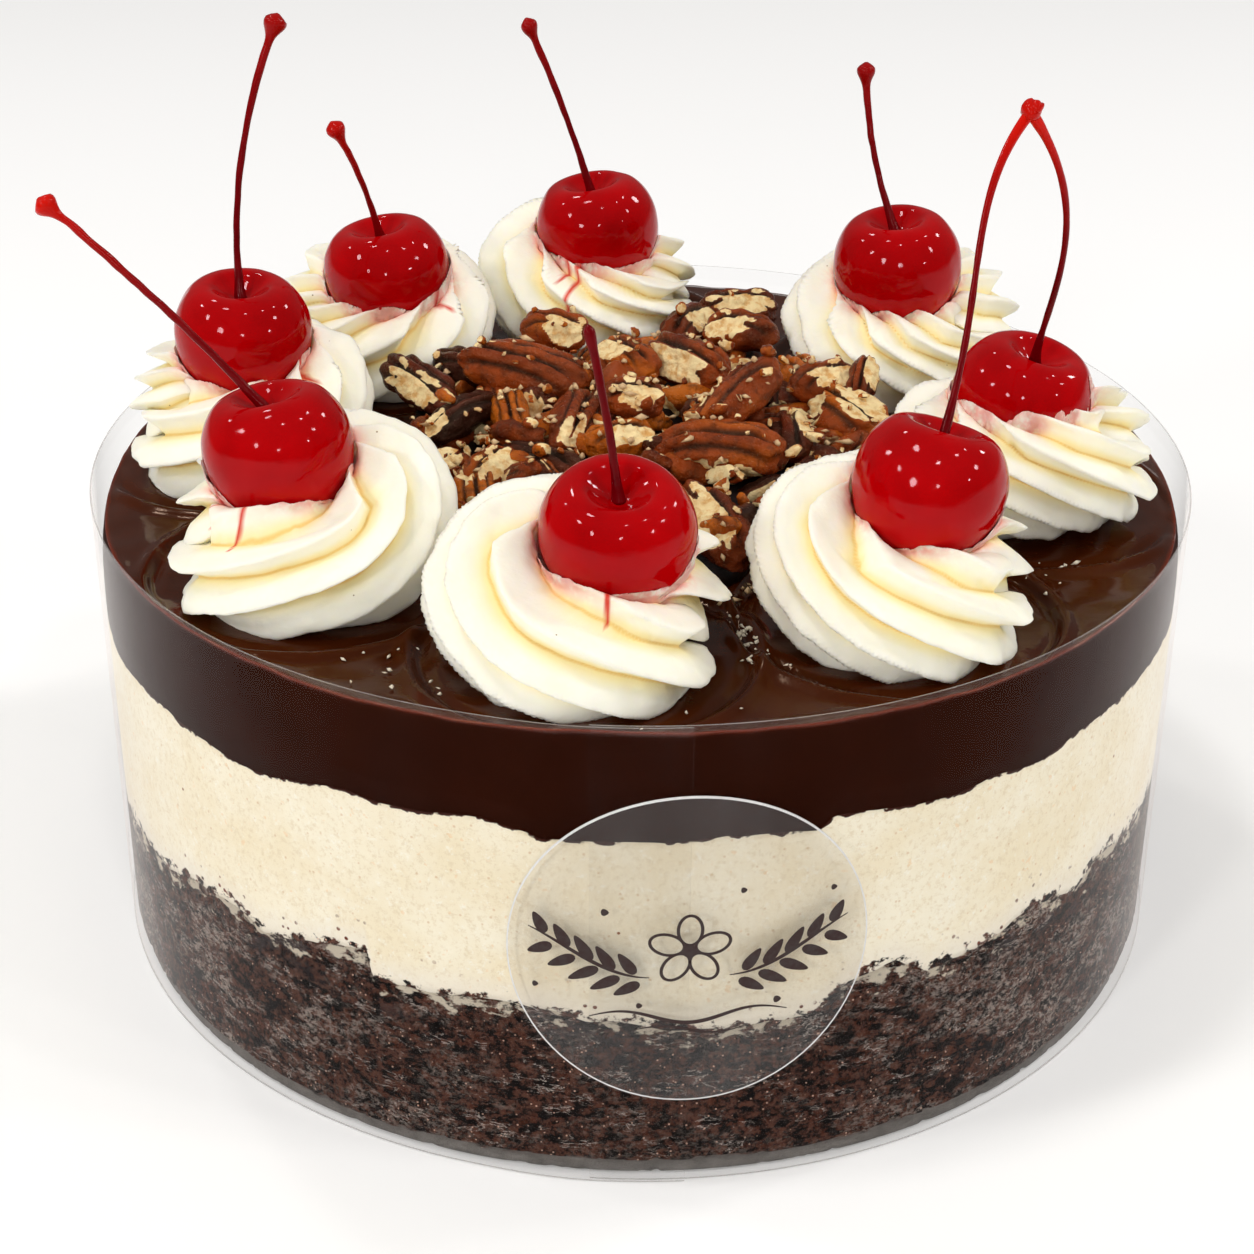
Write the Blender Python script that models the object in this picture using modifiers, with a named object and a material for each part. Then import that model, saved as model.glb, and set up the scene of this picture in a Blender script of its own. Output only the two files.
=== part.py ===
"""A round cherry cheesecake in its clear film collar, in metres.

Z is up, the cake rests on z = 0, its axis is the Z axis and the film's seam faces -Y.
"""

import math
import random

import bmesh
import bpy
from mathutils import Matrix, Vector

# Driving dimensions
CAKE_RADIUS = 0.0891
CRUMB_TOP = 0.0300
CHEESE_TOP = 0.0600
CAKE_TOP = 0.0767
FOOT_ROUNDING = 0.0022
TOP_ROUNDING = 0.0006
# How far the ganache's top edge stands in from the film, and from which angle to which it does so.
DRAWN_IN = 0.0024
DRAWN_FROM = math.radians(52.0)
DRAWN_TO = math.radians(84.0)
GAP = 0.0003
SIDES = 64

FILM_RADIUS = 0.08945
FILM_HEIGHT = 0.0785
FILM_THICKNESS = 0.00025
SEAM_ANGLE = math.radians(4.5)
LAP_ANGLE = math.radians(9.0)
LAP_RAMP = math.radians(12.0)

LABEL_RADIUS = 0.0260
LABEL_HEIGHT = 0.0421
LABEL_THICKNESS = 0.00025
LABEL_COLUMNS = 14

SWIRL_OVER_CHERRY = 0.0007
RIDGES = 7
TWIST = math.radians(205.0)
RELIEF = 0.0016

CHERRY_RADIUS = 0.0113
PIT_CLEARANCE = 0.0007
CHERRY_SIDES = 14

# A stem's widths from foot to tip, in shares of its radius, and where its knob lies along it.
STEM_RADIUS = 0.00075
STEM_WIDTHS = (1.25, 1.0, 0.85, 0.85, 0.85, 0.85, 0.85, 1.0, 2.1, 2.2, 1.1)
KNOB_START = 0.93
KNOB_SHARES = (0.965, 0.985, 1.0)
# The widths of each leg of the twin stem from foot to knob, and the knob's own.
LEG_WIDTHS = (1.25, 1.0, 0.85, 0.85, 0.85, 0.85, 0.85, 1.0, 1.6)
LEG_END = 0.96
APEX_WIDTH = 1.9

# The core under the nuts, how far it lies inside the heap's edge and how it falls towards it.
CORE_HEIGHT = 0.0085
CORE_SIDES = 36
CORE_INSET = 0.0012
CORE_FALL = 0.72
CORE_EDGE_DROP = 0.0016
FILL_PIECES = 62
# A nut that must move sideways by more than this share of its length is skipped.
MOST_SHIFT = 0.35

# Each swirl: its centre, radius and turning sense, then its cherry's centre, with its height
# above the cake's top, and its lean.
# Angles are degrees round Z from -Y, positive towards +X; a lean is degrees off the vertical.
SWIRLS = [
    {"at": (-0.0080, -0.0655), "radius": 0.0230, "hand": 1,
     "cherry": (-0.0035, -0.0662, 0.0189), "lean": 16, "towards": 8},
    {"at": (0.0375, -0.0545), "radius": 0.0223, "hand": 1,
     "cherry": (0.0411, -0.0534, 0.0208), "lean": 19, "towards": 129},
    {"at": (0.0615, -0.0140), "radius": 0.0230, "hand": 1,
     "cherry": (0.0601, -0.0133, 0.0172), "lean": 15.5, "towards": 76},
    {"at": (0.0480, 0.0400), "radius": 0.0225, "hand": 1,
     "cherry": (0.0451, 0.0380, 0.0206), "lean": 6, "towards": -60},
    {"at": (-0.0090, 0.0620), "radius": 0.0215, "hand": 1,
     "cherry": (-0.0080, 0.0612, 0.0191), "lean": 8, "towards": -90},
    {"at": (-0.0475, 0.0415), "radius": 0.0215, "hand": -1,
     "cherry": (-0.0448, 0.0400, 0.0179), "lean": 9, "towards": -80},
    {"at": (-0.0655, 0.0020), "radius": 0.0215, "hand": -1,
     "cherry": (-0.0652, 0.0036, 0.0206), "lean": 5, "towards": 20},
    {"at": (-0.0500, -0.0420), "radius": 0.0230, "hand": -1,
     "cherry": (-0.0538, -0.0408, 0.0199), "lean": 10, "towards": -110},
]

# Each single stem: the swirl it belongs to, its tip and how far its middle bows out.
STEMS = [
    {"swirl": 0, "tip": (-0.0076, -0.0650, 0.1262), "bow": (0.0004, 0.0, 0.0)},
    {"swirl": 3, "tip": (0.0384, 0.0450, 0.1315), "bow": (-0.0014, 0.0, 0.0)},
    {"swirl": 4, "tip": (-0.0208, 0.0640, 0.1338), "bow": (0.0006, 0.0, 0.0)},
    {"swirl": 5, "tip": (-0.0528, 0.0350, 0.1235), "bow": (0.0009, 0.0, 0.0)},
    {"swirl": 6, "tip": (-0.0575, 0.0130, 0.1475), "bow": (-0.0029, 0.0, 0.0)},
    {"swirl": 7, "tip": (-0.0865, -0.0360, 0.1335), "bow": (0.0, 0.0, 0.0012)},
]
TWIN_SWIRLS = (1, 2)
TWIN_APEX = (0.0550, -0.0300, 0.1452)
# How far each leg bows out, and how far up: 1 bows it most in the middle, more bows it higher.
TWIN_BOWS = (((-0.0026, 0.0, 0.0), 3.0), ((0.0051, 0.0, 0.0), 1.5))

# The largest nuts: centre, turn about Z, pitch, length, width and thickness.
# Heights are above the cake's top and angles are degrees.
LARGE_NUTS = [
    (-0.0200, 0.0130, 0.0110, -24, -5, 0.0230, 0.0105, 0.0075),
    (-0.0375, 0.0130, 0.0080, -49, -6, 0.0190, 0.0080, 0.0065),
    (-0.0300, 0.0215, 0.0080, -29, 0, 0.0150, 0.0070, 0.0060),
    (-0.0297, -0.0005, 0.0080, 53, 3, 0.0178, 0.0070, 0.0060),
    (-0.0214, 0.0001, 0.0085, -82, -3, 0.0150, 0.0060, 0.0065),
    (-0.0105, -0.0045, 0.0090, -101, -5, 0.0170, 0.0085, 0.0075),
    (-0.0159, -0.0145, 0.0060, -34, 0, 0.0160, 0.0080, 0.0060),
    (-0.0260, -0.0225, 0.0045, -82, -8, 0.0150, 0.0070, 0.0070),
    (-0.0150, 0.0325, 0.0100, -31, 5, 0.0130, 0.0070, 0.0075),
    (-0.0023, 0.0225, 0.0090, -50, 0, 0.0140, 0.0080, 0.0070),
    (-0.0012, 0.0017, 0.0105, -6, 0, 0.0100, 0.0090, 0.0070),
    (0.0083, 0.0190, 0.0100, -55, 2, 0.0215, 0.0095, 0.0080),
    (0.0157, 0.0002, 0.0115, 53, 10, 0.0205, 0.0090, 0.0080),
    (0.0128, -0.0134, 0.0085, -12, 0, 0.0210, 0.0110, 0.0085),
    (0.0117, -0.0345, 0.0050, -71, -7, 0.0200, 0.0100, 0.0080),
    (0.0152, 0.0555, 0.0060, 5, 0, 0.0150, 0.0085, 0.0075),
    (0.0180, 0.0380, 0.0080, -11, 0, 0.0130, 0.0085, 0.0075),
    (0.0285, 0.0190, 0.0070, -70, 2, 0.0150, 0.0080, 0.0070),
    (0.0345, 0.0035, 0.0070, -55, -3, 0.0170, 0.0120, 0.0080),
    (0.0251, -0.0045, 0.0060, -87, -3, 0.0150, 0.0090, 0.0070),
]

# How far the heap spreads from the axis in the gaps between swirls: angle, reach and half-width.
HEAP_REACH = 0.0405
HEAP_GAPS = [(14, 0.0490, 14), (165, 0.0610, 16), (-36, 0.0460, 12), (98, 0.0480, 16), (-115, 0.0430, 12)]


def rgb(red, green, blue):
    """A display colour of 0 to 255 a channel as the linear RGBA that a shader takes."""
    def linear(value):
        share = value / 255.0
        return share / 12.92 if share <= 0.04045 else ((share + 0.055) / 1.055) ** 2.4
    return (linear(red), linear(green), linear(blue), 1.0)


def finish(name, colour, roughness, alpha=1.0, subsurface=0.0):
    """A Principled material."""
    material = bpy.data.materials.new(name)
    material.use_nodes = True
    shader = material.node_tree.nodes["Principled BSDF"]
    shader.inputs["Base Color"].default_value = colour
    shader.inputs["Roughness"].default_value = roughness
    shader.inputs["Metallic"].default_value = 0.0
    shader.inputs["Alpha"].default_value = alpha
    shader.inputs["Subsurface Weight"].default_value = subsurface
    return material


def direction(angle):
    """The unit vector at an angle round Z from -Y, positive towards +X."""
    return Vector((math.sin(angle), -math.cos(angle), 0.0))


def bearing(point):
    """The angle round Z from -Y of a point."""
    return math.atan2(point.x, -point.y)


def eased(low, high, value):
    """0 below low, 1 above high and a smooth step between."""
    share = min(1.0, max(0.0, (value - low) / (high - low)))
    return share * share * (3.0 - 2.0 * share)


def clear_scene():
    for obj in list(bpy.data.objects):
        bpy.data.objects.remove(obj, do_unlink=True)


def collection(name):
    made = bpy.data.collections.new(name)
    bpy.context.scene.collection.children.link(made)
    return made


def place(obj, group, material=None):
    group.objects.link(obj)
    if material is not None:
        obj.data.materials.append(material)
    return obj


def shade_round(mesh, degrees=40):
    mesh.shade_smooth()
    mesh.set_sharp_from_angle(angle=math.radians(degrees))


def solid_from(bm, name, group, material):
    """An object from a bmesh, with its faces turned outwards."""
    bmesh.ops.recalc_face_normals(bm, faces=bm.faces)
    mesh = bpy.data.meshes.new(name)
    bm.to_mesh(mesh)
    bm.free()
    shade_round(mesh)
    return place(bpy.data.objects.new(name, mesh), group, material)


def applied(obj, name, group, material):
    """The evaluated mesh of an object as a new object, which takes the old one's place."""
    bpy.context.view_layer.update()
    graph = bpy.context.evaluated_depsgraph_get()
    mesh = bpy.data.meshes.new_from_object(obj.evaluated_get(graph))
    mesh.name = name
    mesh.materials.clear()
    solid = bpy.data.objects.new(name, mesh)
    solid.matrix_world = obj.matrix_world
    bpy.data.objects.remove(obj, do_unlink=True)
    return place(solid, group, material)


def turned(name, profile, steps, group, material):
    """A solid turned about Z from (radius, height) points that run down its outer side."""
    mesh = bpy.data.meshes.new(name)
    edges = [(i, i + 1) for i in range(len(profile) - 1)]
    mesh.from_pydata([(radius, 0.0, height) for radius, height in profile], edges, [])
    obj = place(bpy.data.objects.new(name + "_profile", mesh), group)
    screw = obj.modifiers.new("turn", "SCREW")
    screw.steps = steps
    screw.render_steps = steps
    screw.use_merge_vertices = True
    screw.merge_threshold = 0.00001
    solid = applied(obj, name, group, material)
    shade_round(solid.data)
    return solid


# The layers of the cake


def crumb_line(angle):
    """How far the top of the crumb base rises or falls at the side."""
    waves = ((3, 0.5, 0.4), (7, 0.35, 2.1), (13, 0.3, 4.0), (22, 0.22, 1.3))
    return 0.0016 * sum(size * math.sin(count * angle + start) for count, size, start in waves)


def ganache_line(angle):
    """How far the top of the cheesecake layer rises or falls at the side."""
    waves = ((2, 0.5, 1.2), (5, 0.4, 0.3), (9, 0.35, 2.6), (17, 0.2, 5.0))
    return 0.0011 * sum(size * math.sin(count * angle + start) for count, size, start in waves)


def wave_rim(solid, height, line):
    """Moves the ring of rim points at a height by the line's rise at each angle."""
    for vertex in solid.data.vertices:
        point = vertex.co
        if point.xy.length > 0.9 * CAKE_RADIUS and abs(point.z - height) < 0.5 * GAP:
            point.z += line(bearing(point))


def flat_underside(solid):
    """Joins the lowest fan of triangles into one flat face."""
    bm = bmesh.new()
    bm.from_mesh(solid.data)
    lowest = min(vertex.co.z for vertex in bm.verts)
    middle = [v for v in bm.verts if v.co.xy.length < GAP and v.co.z < lowest + GAP]
    bmesh.ops.dissolve_verts(bm, verts=middle)
    bm.to_mesh(solid.data)
    bm.free()


def make_layers(group):
    crumb = finish("crumb", rgb(58, 36, 26), 0.9)
    cheese = finish("cheesecake", rgb(238, 226, 200), 0.55, subsurface=0.1)
    ganache = finish("ganache", rgb(34, 14, 8), 0.18)

    low = CRUMB_TOP - 0.5 * GAP
    profile = [(0.0, low), (CAKE_RADIUS, low), (CAKE_RADIUS, FOOT_ROUNDING)]
    profile += [(CAKE_RADIUS - FOOT_ROUNDING, 0.0), (0.0, 0.0)]
    base = turned("crumb_base", profile, SIDES, group, crumb)
    wave_rim(base, low, crumb_line)
    flat_underside(base)

    low = CRUMB_TOP + 0.5 * GAP
    high = CHEESE_TOP - 0.5 * GAP
    profile = [(0.0, high), (CAKE_RADIUS, high), (CAKE_RADIUS, low), (0.0, low)]
    filling = turned("cheesecake", profile, SIDES, group, cheese)
    wave_rim(filling, high, ganache_line)
    wave_rim(filling, low, crumb_line)

    low = CHEESE_TOP + 0.5 * GAP
    profile = [(0.0, CAKE_TOP), (CAKE_RADIUS - TOP_ROUNDING, CAKE_TOP)]
    profile += [(CAKE_RADIUS, CAKE_TOP - TOP_ROUNDING)]
    profile += [(CAKE_RADIUS, low), (0.0, low)]
    topping = turned("ganache", profile, SIDES, group, ganache)
    wave_rim(topping, low, ganache_line)
    draw_in_back_edge(topping)


def draw_in_back_edge(topping):
    """Draws the ganache's top edge in from the film at the sides and the back."""
    for vertex in topping.data.vertices:
        point = vertex.co
        if point.xy.length < 0.9 * CAKE_RADIUS or point.z < CAKE_TOP - 2.0 * TOP_ROUNDING:
            continue
        drawn = DRAWN_IN * eased(DRAWN_FROM, DRAWN_TO, abs(bearing(point)))
        if point.z > CAKE_TOP - 0.5 * TOP_ROUNDING:
            point.xy -= point.xy.normalized() * drawn
        else:
            point.z -= drawn


# The clear film and its round label


def make_film(group):
    """A strip wound once round the cake, with its outer end lapped over its inner end."""
    film = finish("clear_film", rgb(240, 242, 244), 0.08, alpha=0.25)
    whole = 2.0 * math.pi + LAP_ANGLE
    steps = SIDES + 4
    bm = bmesh.new()
    rows = []
    for step in range(steps + 1):
        turn = whole * step / steps
        lift = (FILM_THICKNESS + GAP) * eased(whole - LAP_ANGLE - LAP_RAMP, whole - LAP_ANGLE, turn)
        around = direction(SEAM_ANGLE - LAP_ANGLE + turn) * (FILM_RADIUS + lift)
        rows.append([bm.verts.new((around.x, around.y, z)) for z in (0.0, FILM_HEIGHT)])
    for first, second in zip(rows, rows[1:]):
        bm.faces.new((first[0], second[0], second[1], first[1]))
    sheet = open_sheet(bm, "collar", group, film)
    thicken(sheet, FILM_THICKNESS)


def make_label(group):
    """A round label bent to the film, over its seam."""
    paper = finish("label_film", rgb(236, 228, 210), 0.3, alpha=0.6)
    radius = FILM_RADIUS + 2.0 * (FILM_THICKNESS + GAP) + GAP
    bm = bmesh.new()
    rows = []
    for column in range(LABEL_COLUMNS + 1):
        turn = math.pi * column / LABEL_COLUMNS
        across = -LABEL_RADIUS * math.cos(turn)
        half = LABEL_RADIUS * math.sin(turn)
        around = direction(SEAM_ANGLE + across / radius) * radius
        low, high = LABEL_HEIGHT - half, LABEL_HEIGHT + half
        if column in (0, LABEL_COLUMNS):
            rows.append([bm.verts.new((around.x, around.y, LABEL_HEIGHT))] * 2)
        else:
            rows.append([bm.verts.new((around.x, around.y, z)) for z in (low, high)])
    for first, second in zip(rows, rows[1:]):
        corners = (first[0], second[0], second[1], first[1])
        bm.faces.new(tuple(dict.fromkeys(corners)))
    sheet = open_sheet(bm, "label", group, paper)
    thicken(sheet, LABEL_THICKNESS)


def open_sheet(bm, name, group, material):
    """An open surface whose faces look away from the axis."""
    bm.normal_update()
    for face in bm.faces:
        if face.normal.xy.dot(face.calc_center_median().xy) < 0.0:
            face.normal_flip()
    mesh = bpy.data.meshes.new(name)
    bm.to_mesh(mesh)
    bm.free()
    shade_round(mesh)
    return place(bpy.data.objects.new(name, mesh), group, material)


def thicken(sheet, thickness):
    shell = sheet.modifiers.new("thickness", "SOLIDIFY")
    shell.thickness = thickness
    shell.offset = 1.0


# The piped swirls with their cherries and stems


# Each ring of a swirl: how far it has spread from the pit's rim to the swirl's edge, its height,
# how far its centre has moved from the cherry's to the swirl's own, and the way that its ridges
# stand out (outwards, upwards).
SWIRL_RINGS = (
    (0.03, 0.85, 0.00, 0.0, 0.5),
    (0.24, 0.97, 0.30, 0.2, 1.0),
    (0.52, 0.86, 0.60, 0.6, 0.8),
    (0.80, 0.66, 0.85, 0.9, 0.5),
    (0.95, 0.43, 1.0, 1.0, 0.2),
    (0.97, 0.22, 1.0, 1.0, 0.0),
    (0.88, 0.06, 1.0, 0.8, 0.0),
)
# The rings of the pit under the cherry, in shares of its radius.
PIT_RINGS = (0.55, 0.86)
# How wide the foot is against the ring above it.
FOOT_SHARE = 0.96
# The share of a ridge's pitch at which each line runs, and how far it stands out.
RIDGE_LINES = ((0.0, 1.0), (0.38, -1.0), (0.70, -0.35))


def make_swirl(index, spec, group, material):
    """A star-tipped swirl: lines that follow its ridges round and down, lofted into one skin."""
    centre = Vector((*spec["at"], CAKE_TOP + GAP))
    middle = Vector((*spec["cherry"][:2], CAKE_TOP + GAP))
    pit = CHERRY_RADIUS + PIT_CLEARANCE
    pit_centre = spec["cherry"][2] - GAP
    tallest = spec["cherry"][2] + SWIRL_OVER_CHERRY
    bm = bmesh.new()
    lines = [(ridge + share, out) for ridge in range(RIDGES) for share, out in RIDGE_LINES]
    rings = []
    for share in PIT_RINGS:
        radius = share * pit
        height = pit_centre - math.sqrt(pit * pit - radius * radius)
        rings.append([middle + direction(2 * math.pi * line / RIDGES) * radius
                      + Vector((0, 0, height)) for line, _ in lines])
    for step, (spread, tall, shift, outwards, upwards) in enumerate(SWIRL_RINGS):
        turn = spec["hand"] * TWIST * step / (len(SWIRL_RINGS) - 1)
        around = middle.lerp(centre, shift)
        ring = []
        for line, out in lines:
            angle = 2 * math.pi * line / RIDGES + turn
            stand = RELIEF * out - (RELIEF if outwards > 0.5 else 0.0)
            radius = pit + (spec["radius"] - pit) * spread + stand * outwards
            height = tall * tallest + stand * upwards
            ring.append(around + direction(angle) * radius + Vector((0, 0, height)))
        rings.append(ring)
    rings.append([centre + (point - centre) * FOOT_SHARE for point in rings[-1]])
    for point in rings[-1]:
        point.z = centre.z
    made = [[bm.verts.new(point) for point in ring] for ring in rings]
    bottom = bm.verts.new(middle + Vector((0, 0, pit_centre - pit)))
    count = len(lines)
    for i in range(count):
        bm.faces.new((bottom, made[0][i], made[0][(i + 1) % count]))
    for inner, outer in zip(made, made[1:]):
        for i in range(count):
            following = (i + 1) % count
            bm.faces.new((inner[i], outer[i], outer[following], inner[following]))
    bm.faces.new(made[-1])
    solid_from(bm, f"swirl_{index + 1}", group, material)


# A cherry's profile in shares of its radius, from the dimple down to its base.
CHERRY_PROFILE = ((0.0, 0.58), (0.22, 0.67), (0.50, 0.78), (0.80, 0.60), (1.0, 0.14),
                  (0.96, -0.28), (0.74, -0.66), (0.38, -0.88), (0.0, -0.94))


def cherry_centre(spec):
    x, y, rise = spec["cherry"]
    return Vector((x, y, CAKE_TOP + rise))


def leaning(spec):
    """The rotation that leans a cherry the way its swirl says."""
    axis = Vector((0, 0, 1)).cross(direction(math.radians(spec["towards"])))
    return Matrix.Rotation(math.radians(spec["lean"]), 4, axis)


def make_cherry(index, spec, group, material):
    profile = [(CHERRY_RADIUS * r, CHERRY_RADIUS * z) for r, z in CHERRY_PROFILE]
    cherry = turned(f"cherry_{index + 1}", profile, CHERRY_SIDES, group, material)
    cherry.matrix_world = Matrix.Translation(cherry_centre(spec)) @ leaning(spec)


def stem_foot(spec):
    """Where a stem starts, just above the bottom of its cherry's dimple."""
    up = leaning(spec) @ Vector((0, 0, 1))
    reach = CHERRY_PROFILE[0][1] * CHERRY_RADIUS + GAP + 0.8 * STEM_RADIUS
    return cherry_centre(spec) + up * reach


def bowed(start, end, bow, share, skew=1.0):
    """A point on the curve from start to end, bowed out in its middle or nearer to its end."""
    most = (skew / (1.0 + skew)) ** skew / (1.0 + skew)
    return start.lerp(end, share) + Vector(bow) * (share ** skew * (1.0 - share) / most)


def stem_curve(name, points, widths, group, material):
    """A stem as a bevelled curve, its radius given at each point in shares of the stem's own."""
    data = bpy.data.curves.new(name, "CURVE")
    data.dimensions = "3D"
    data.bevel_depth = STEM_RADIUS
    data.bevel_resolution = 1
    data.use_fill_caps = True
    spline = data.splines.new("POLY")
    spline.points.add(len(points) - 1)
    for place_at, point, width in zip(spline.points, points, widths):
        place_at.co = (*point, 1.0)
        place_at.radius = width
    place(bpy.data.objects.new(name, data), group, material)


def make_single_stem(number, stem, group, material):
    """A stem that widens at its foot and ends in a small knob."""
    start = stem_foot(SWIRLS[stem["swirl"]])
    end = Vector(stem["tip"])
    last = len(STEM_WIDTHS) - len(KNOB_SHARES) - 1
    shares = [KNOB_START * i / last for i in range(last + 1)] + list(KNOB_SHARES)
    points = [bowed(start, end, stem["bow"], share) for share in shares]
    stem_curve(f"stem_{number + 1}", points, STEM_WIDTHS, group, material)


def make_twin_stem(group, material):
    """Two stems that meet in a knob above their cherries."""
    apex = Vector(TWIN_APEX)
    legs = []
    for swirl, (bow, skew) in zip(TWIN_SWIRLS, TWIN_BOWS):
        foot = stem_foot(SWIRLS[swirl])
        last = len(LEG_WIDTHS) - 1
        shares = [i / last for i in range(last)] + [LEG_END]
        legs.append([bowed(foot, apex, bow, share, skew) for share in shares])
    points = legs[0] + [apex] + legs[1][::-1]
    widths = [*LEG_WIDTHS, APEX_WIDTH, *LEG_WIDTHS[::-1]]
    stem_curve("stem_twin", points, widths, group, material)


def make_swirls(group):
    cream = finish("cream", rgb(250, 245, 226), 0.5, subsurface=0.1)
    red = finish("cherry", rgb(176, 4, 18), 0.08, subsurface=0.1)
    stalk = finish("stem", rgb(120, 12, 20), 0.3)
    for index, spec in enumerate(SWIRLS):
        make_swirl(index, spec, group, cream)
        make_cherry(index, spec, group, red)
    for number, stem in enumerate(STEMS):
        make_single_stem(number, stem, group, stalk)
    make_twin_stem(group, stalk)


# The heap of nuts


def heap_edge(angle):
    """How far the heap reaches from the axis at an angle, clear of the swirls."""
    reach = HEAP_REACH
    for middle, far, half in HEAP_GAPS:
        off = abs(math.remainder(angle - math.radians(middle), 2.0 * math.pi))
        reach += (far - HEAP_REACH) * (1.0 - eased(0.2, 1.0, off / math.radians(half)))
    ray = direction(angle)
    for spec in SWIRLS:
        to_swirl = Vector((*spec["at"], 0.0))
        along = to_swirl.dot(ray)
        aside = (to_swirl - ray * along).length
        kept = spec["radius"] + 3.0 * GAP
        if along > 0.0 and aside < kept:
            reach = min(reach, along - math.sqrt(kept * kept - aside * aside))
    return reach


def core_height(share):
    """The bare core's height at a share of the way out to its edge."""
    return CORE_HEIGHT * math.sqrt(max(0.0, 1.0 - CORE_FALL * share * share))


def fill_layout():
    """Smaller pieces spread over the heap: centre, turn, pitch, length, width and thickness."""
    draw = random.Random(7)
    golden = math.pi * (3.0 - math.sqrt(5.0))
    pieces = []
    for number in range(FILL_PIECES):
        share = math.sqrt((number + 0.5) / FILL_PIECES)
        angle = math.remainder(number * golden, 2.0 * math.pi)
        length = draw.uniform(0.0055, 0.0095)
        width = length * draw.uniform(0.55, 0.8)
        at = direction(angle) * (heap_edge(angle) - 0.45 * length) * share
        height = core_height(share) - 0.05 * width
        turn = draw.uniform(0, 360)
        pitch = draw.uniform(-25, 25)
        pieces.append((at.x, at.y, height, turn, pitch, length, width, 0.8 * width))
    return pieces


def nut_matrix(nut):
    """Where a nut lies and how it is turned; its length runs along its own X."""
    x, y, height, turn, pitch = nut[:5]
    turned_to = Matrix.Rotation(math.radians(turn), 4, "Z") @ Matrix.Rotation(math.radians(-pitch), 4, "Y")
    return Matrix.Translation((x, y, CAKE_TOP + height)) @ turned_to


def half_nut(bm, nut):
    """A pecan half: a long rounded body with a groove down its back."""
    length, width, thickness = nut[5:]
    made = bmesh.ops.create_uvsphere(bm, u_segments=8, v_segments=6, radius=1.0)["verts"]
    for vertex in made:
        x, y, z = vertex.co.z, vertex.co.x, vertex.co.y
        groove = 0.3 * max(0.0, z) * (1.0 - min(1.0, abs(y) / 0.4))
        full = (1.0 - x * x) ** 0.5 if abs(x) < 1.0 else 1.0
        swell = 1.0 + 0.18 * (1.0 - full)
        vertex.co = (0.5 * length * x, 0.5 * width * y * swell, 0.5 * thickness * (z - groove) * swell)
    return made


def broken_nut(bm, nut, draw):
    """A broken piece: a small uneven lump."""
    length, width, thickness = nut[5:]
    made = bmesh.ops.create_icosphere(bm, subdivisions=1, radius=1.0)["verts"]
    for vertex in made:
        uneven = draw.uniform(0.85, 1.1)
        vertex.co = (0.5 * length * uneven * vertex.co.x, 0.5 * width * uneven * vertex.co.y,
                     0.5 * thickness * uneven * vertex.co.z)
    return made


def clear_of_swirls(points):
    """The sideways move that brings a piece clear of every swirl."""
    move = Vector((0.0, 0.0, 0.0))
    for _ in range(4):
        for spec in SWIRLS:
            centre = Vector((*spec["at"], 0.0))
            away = [Vector((p.x, p.y, 0.0)) + move - centre for p in points]
            nearest = min(away, key=lambda vector: vector.length)
            short = spec["radius"] + 2.0 * GAP - nearest.length
            if short > 0.0:
                move += nearest.normalized() * short
    return move


def add_nut(nut, large, draw, helpers):
    bm = bmesh.new()
    made = half_nut(bm, nut) if large else broken_nut(bm, nut, draw)
    bm.transform(nut_matrix(nut))
    floor = CAKE_TOP + 2.0 * GAP
    lowest = min(vertex.co.z for vertex in made)
    move = clear_of_swirls([vertex.co for vertex in made])
    move.z = max(0.0, floor - lowest)
    if move.xy.length < MOST_SHIFT * nut[5]:
        bmesh.ops.translate(bm, verts=bm.verts, vec=move)
        solid_from(bm, "nut", helpers, None)
    else:
        bm.free()


def heap_core(group):
    """The core under the nuts, out to the heap's uneven edge."""
    bm = bmesh.new()
    rings = []
    for share in (0.35, 0.72, 1.0):
        ring = []
        for i in range(CORE_SIDES):
            angle = 2.0 * math.pi * i / CORE_SIDES - math.pi
            lump = 0.0007 * math.sin(5.0 * angle + 9.0 * share) + 0.0005 * math.sin(11.0 * angle)
            at = direction(angle) * (heap_edge(angle) - CORE_INSET) * share
            height = core_height(share) + lump - (CORE_EDGE_DROP if share == 1.0 else 0.0)
            ring.append(bm.verts.new((at.x, at.y, CAKE_TOP + height)))
        rings.append(ring)
    rings.append([bm.verts.new((v.co.x, v.co.y, CAKE_TOP + GAP)) for v in rings[-1]])
    top = bm.verts.new((0.0, 0.0, CAKE_TOP + CORE_HEIGHT))
    for i in range(CORE_SIDES):
        following = (i + 1) % CORE_SIDES
        bm.faces.new((top, rings[0][i], rings[0][following]))
        for inner, outer in zip(rings, rings[1:]):
            bm.faces.new((inner[i], outer[i], outer[following], inner[following]))
    bm.faces.new(rings[-1])
    return solid_from(bm, "core", group, None)


def keep_largest_part(solid):
    """Drops loose scraps and the skins of hollows that the union sealed."""
    bm = bmesh.new()
    bm.from_mesh(solid.data)
    bmesh.ops.remove_doubles(bm, verts=bm.verts, dist=0.000002)
    unseen = set(bm.verts)
    parts = []
    while unseen:
        part = {unseen.pop()}
        edge = list(part)
        while edge:
            vertex = edge.pop()
            near = {link.other_vert(vertex) for link in vertex.link_edges} & unseen
            unseen -= near
            part |= near
            edge.extend(near)
        parts.append(part)
    largest = max(parts, key=len)
    loose = [vertex for part in parts if part is not largest for vertex in part]
    bmesh.ops.delete(bm, geom=loose, context="VERTS")
    bm.to_mesh(solid.data)
    bm.free()


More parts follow.
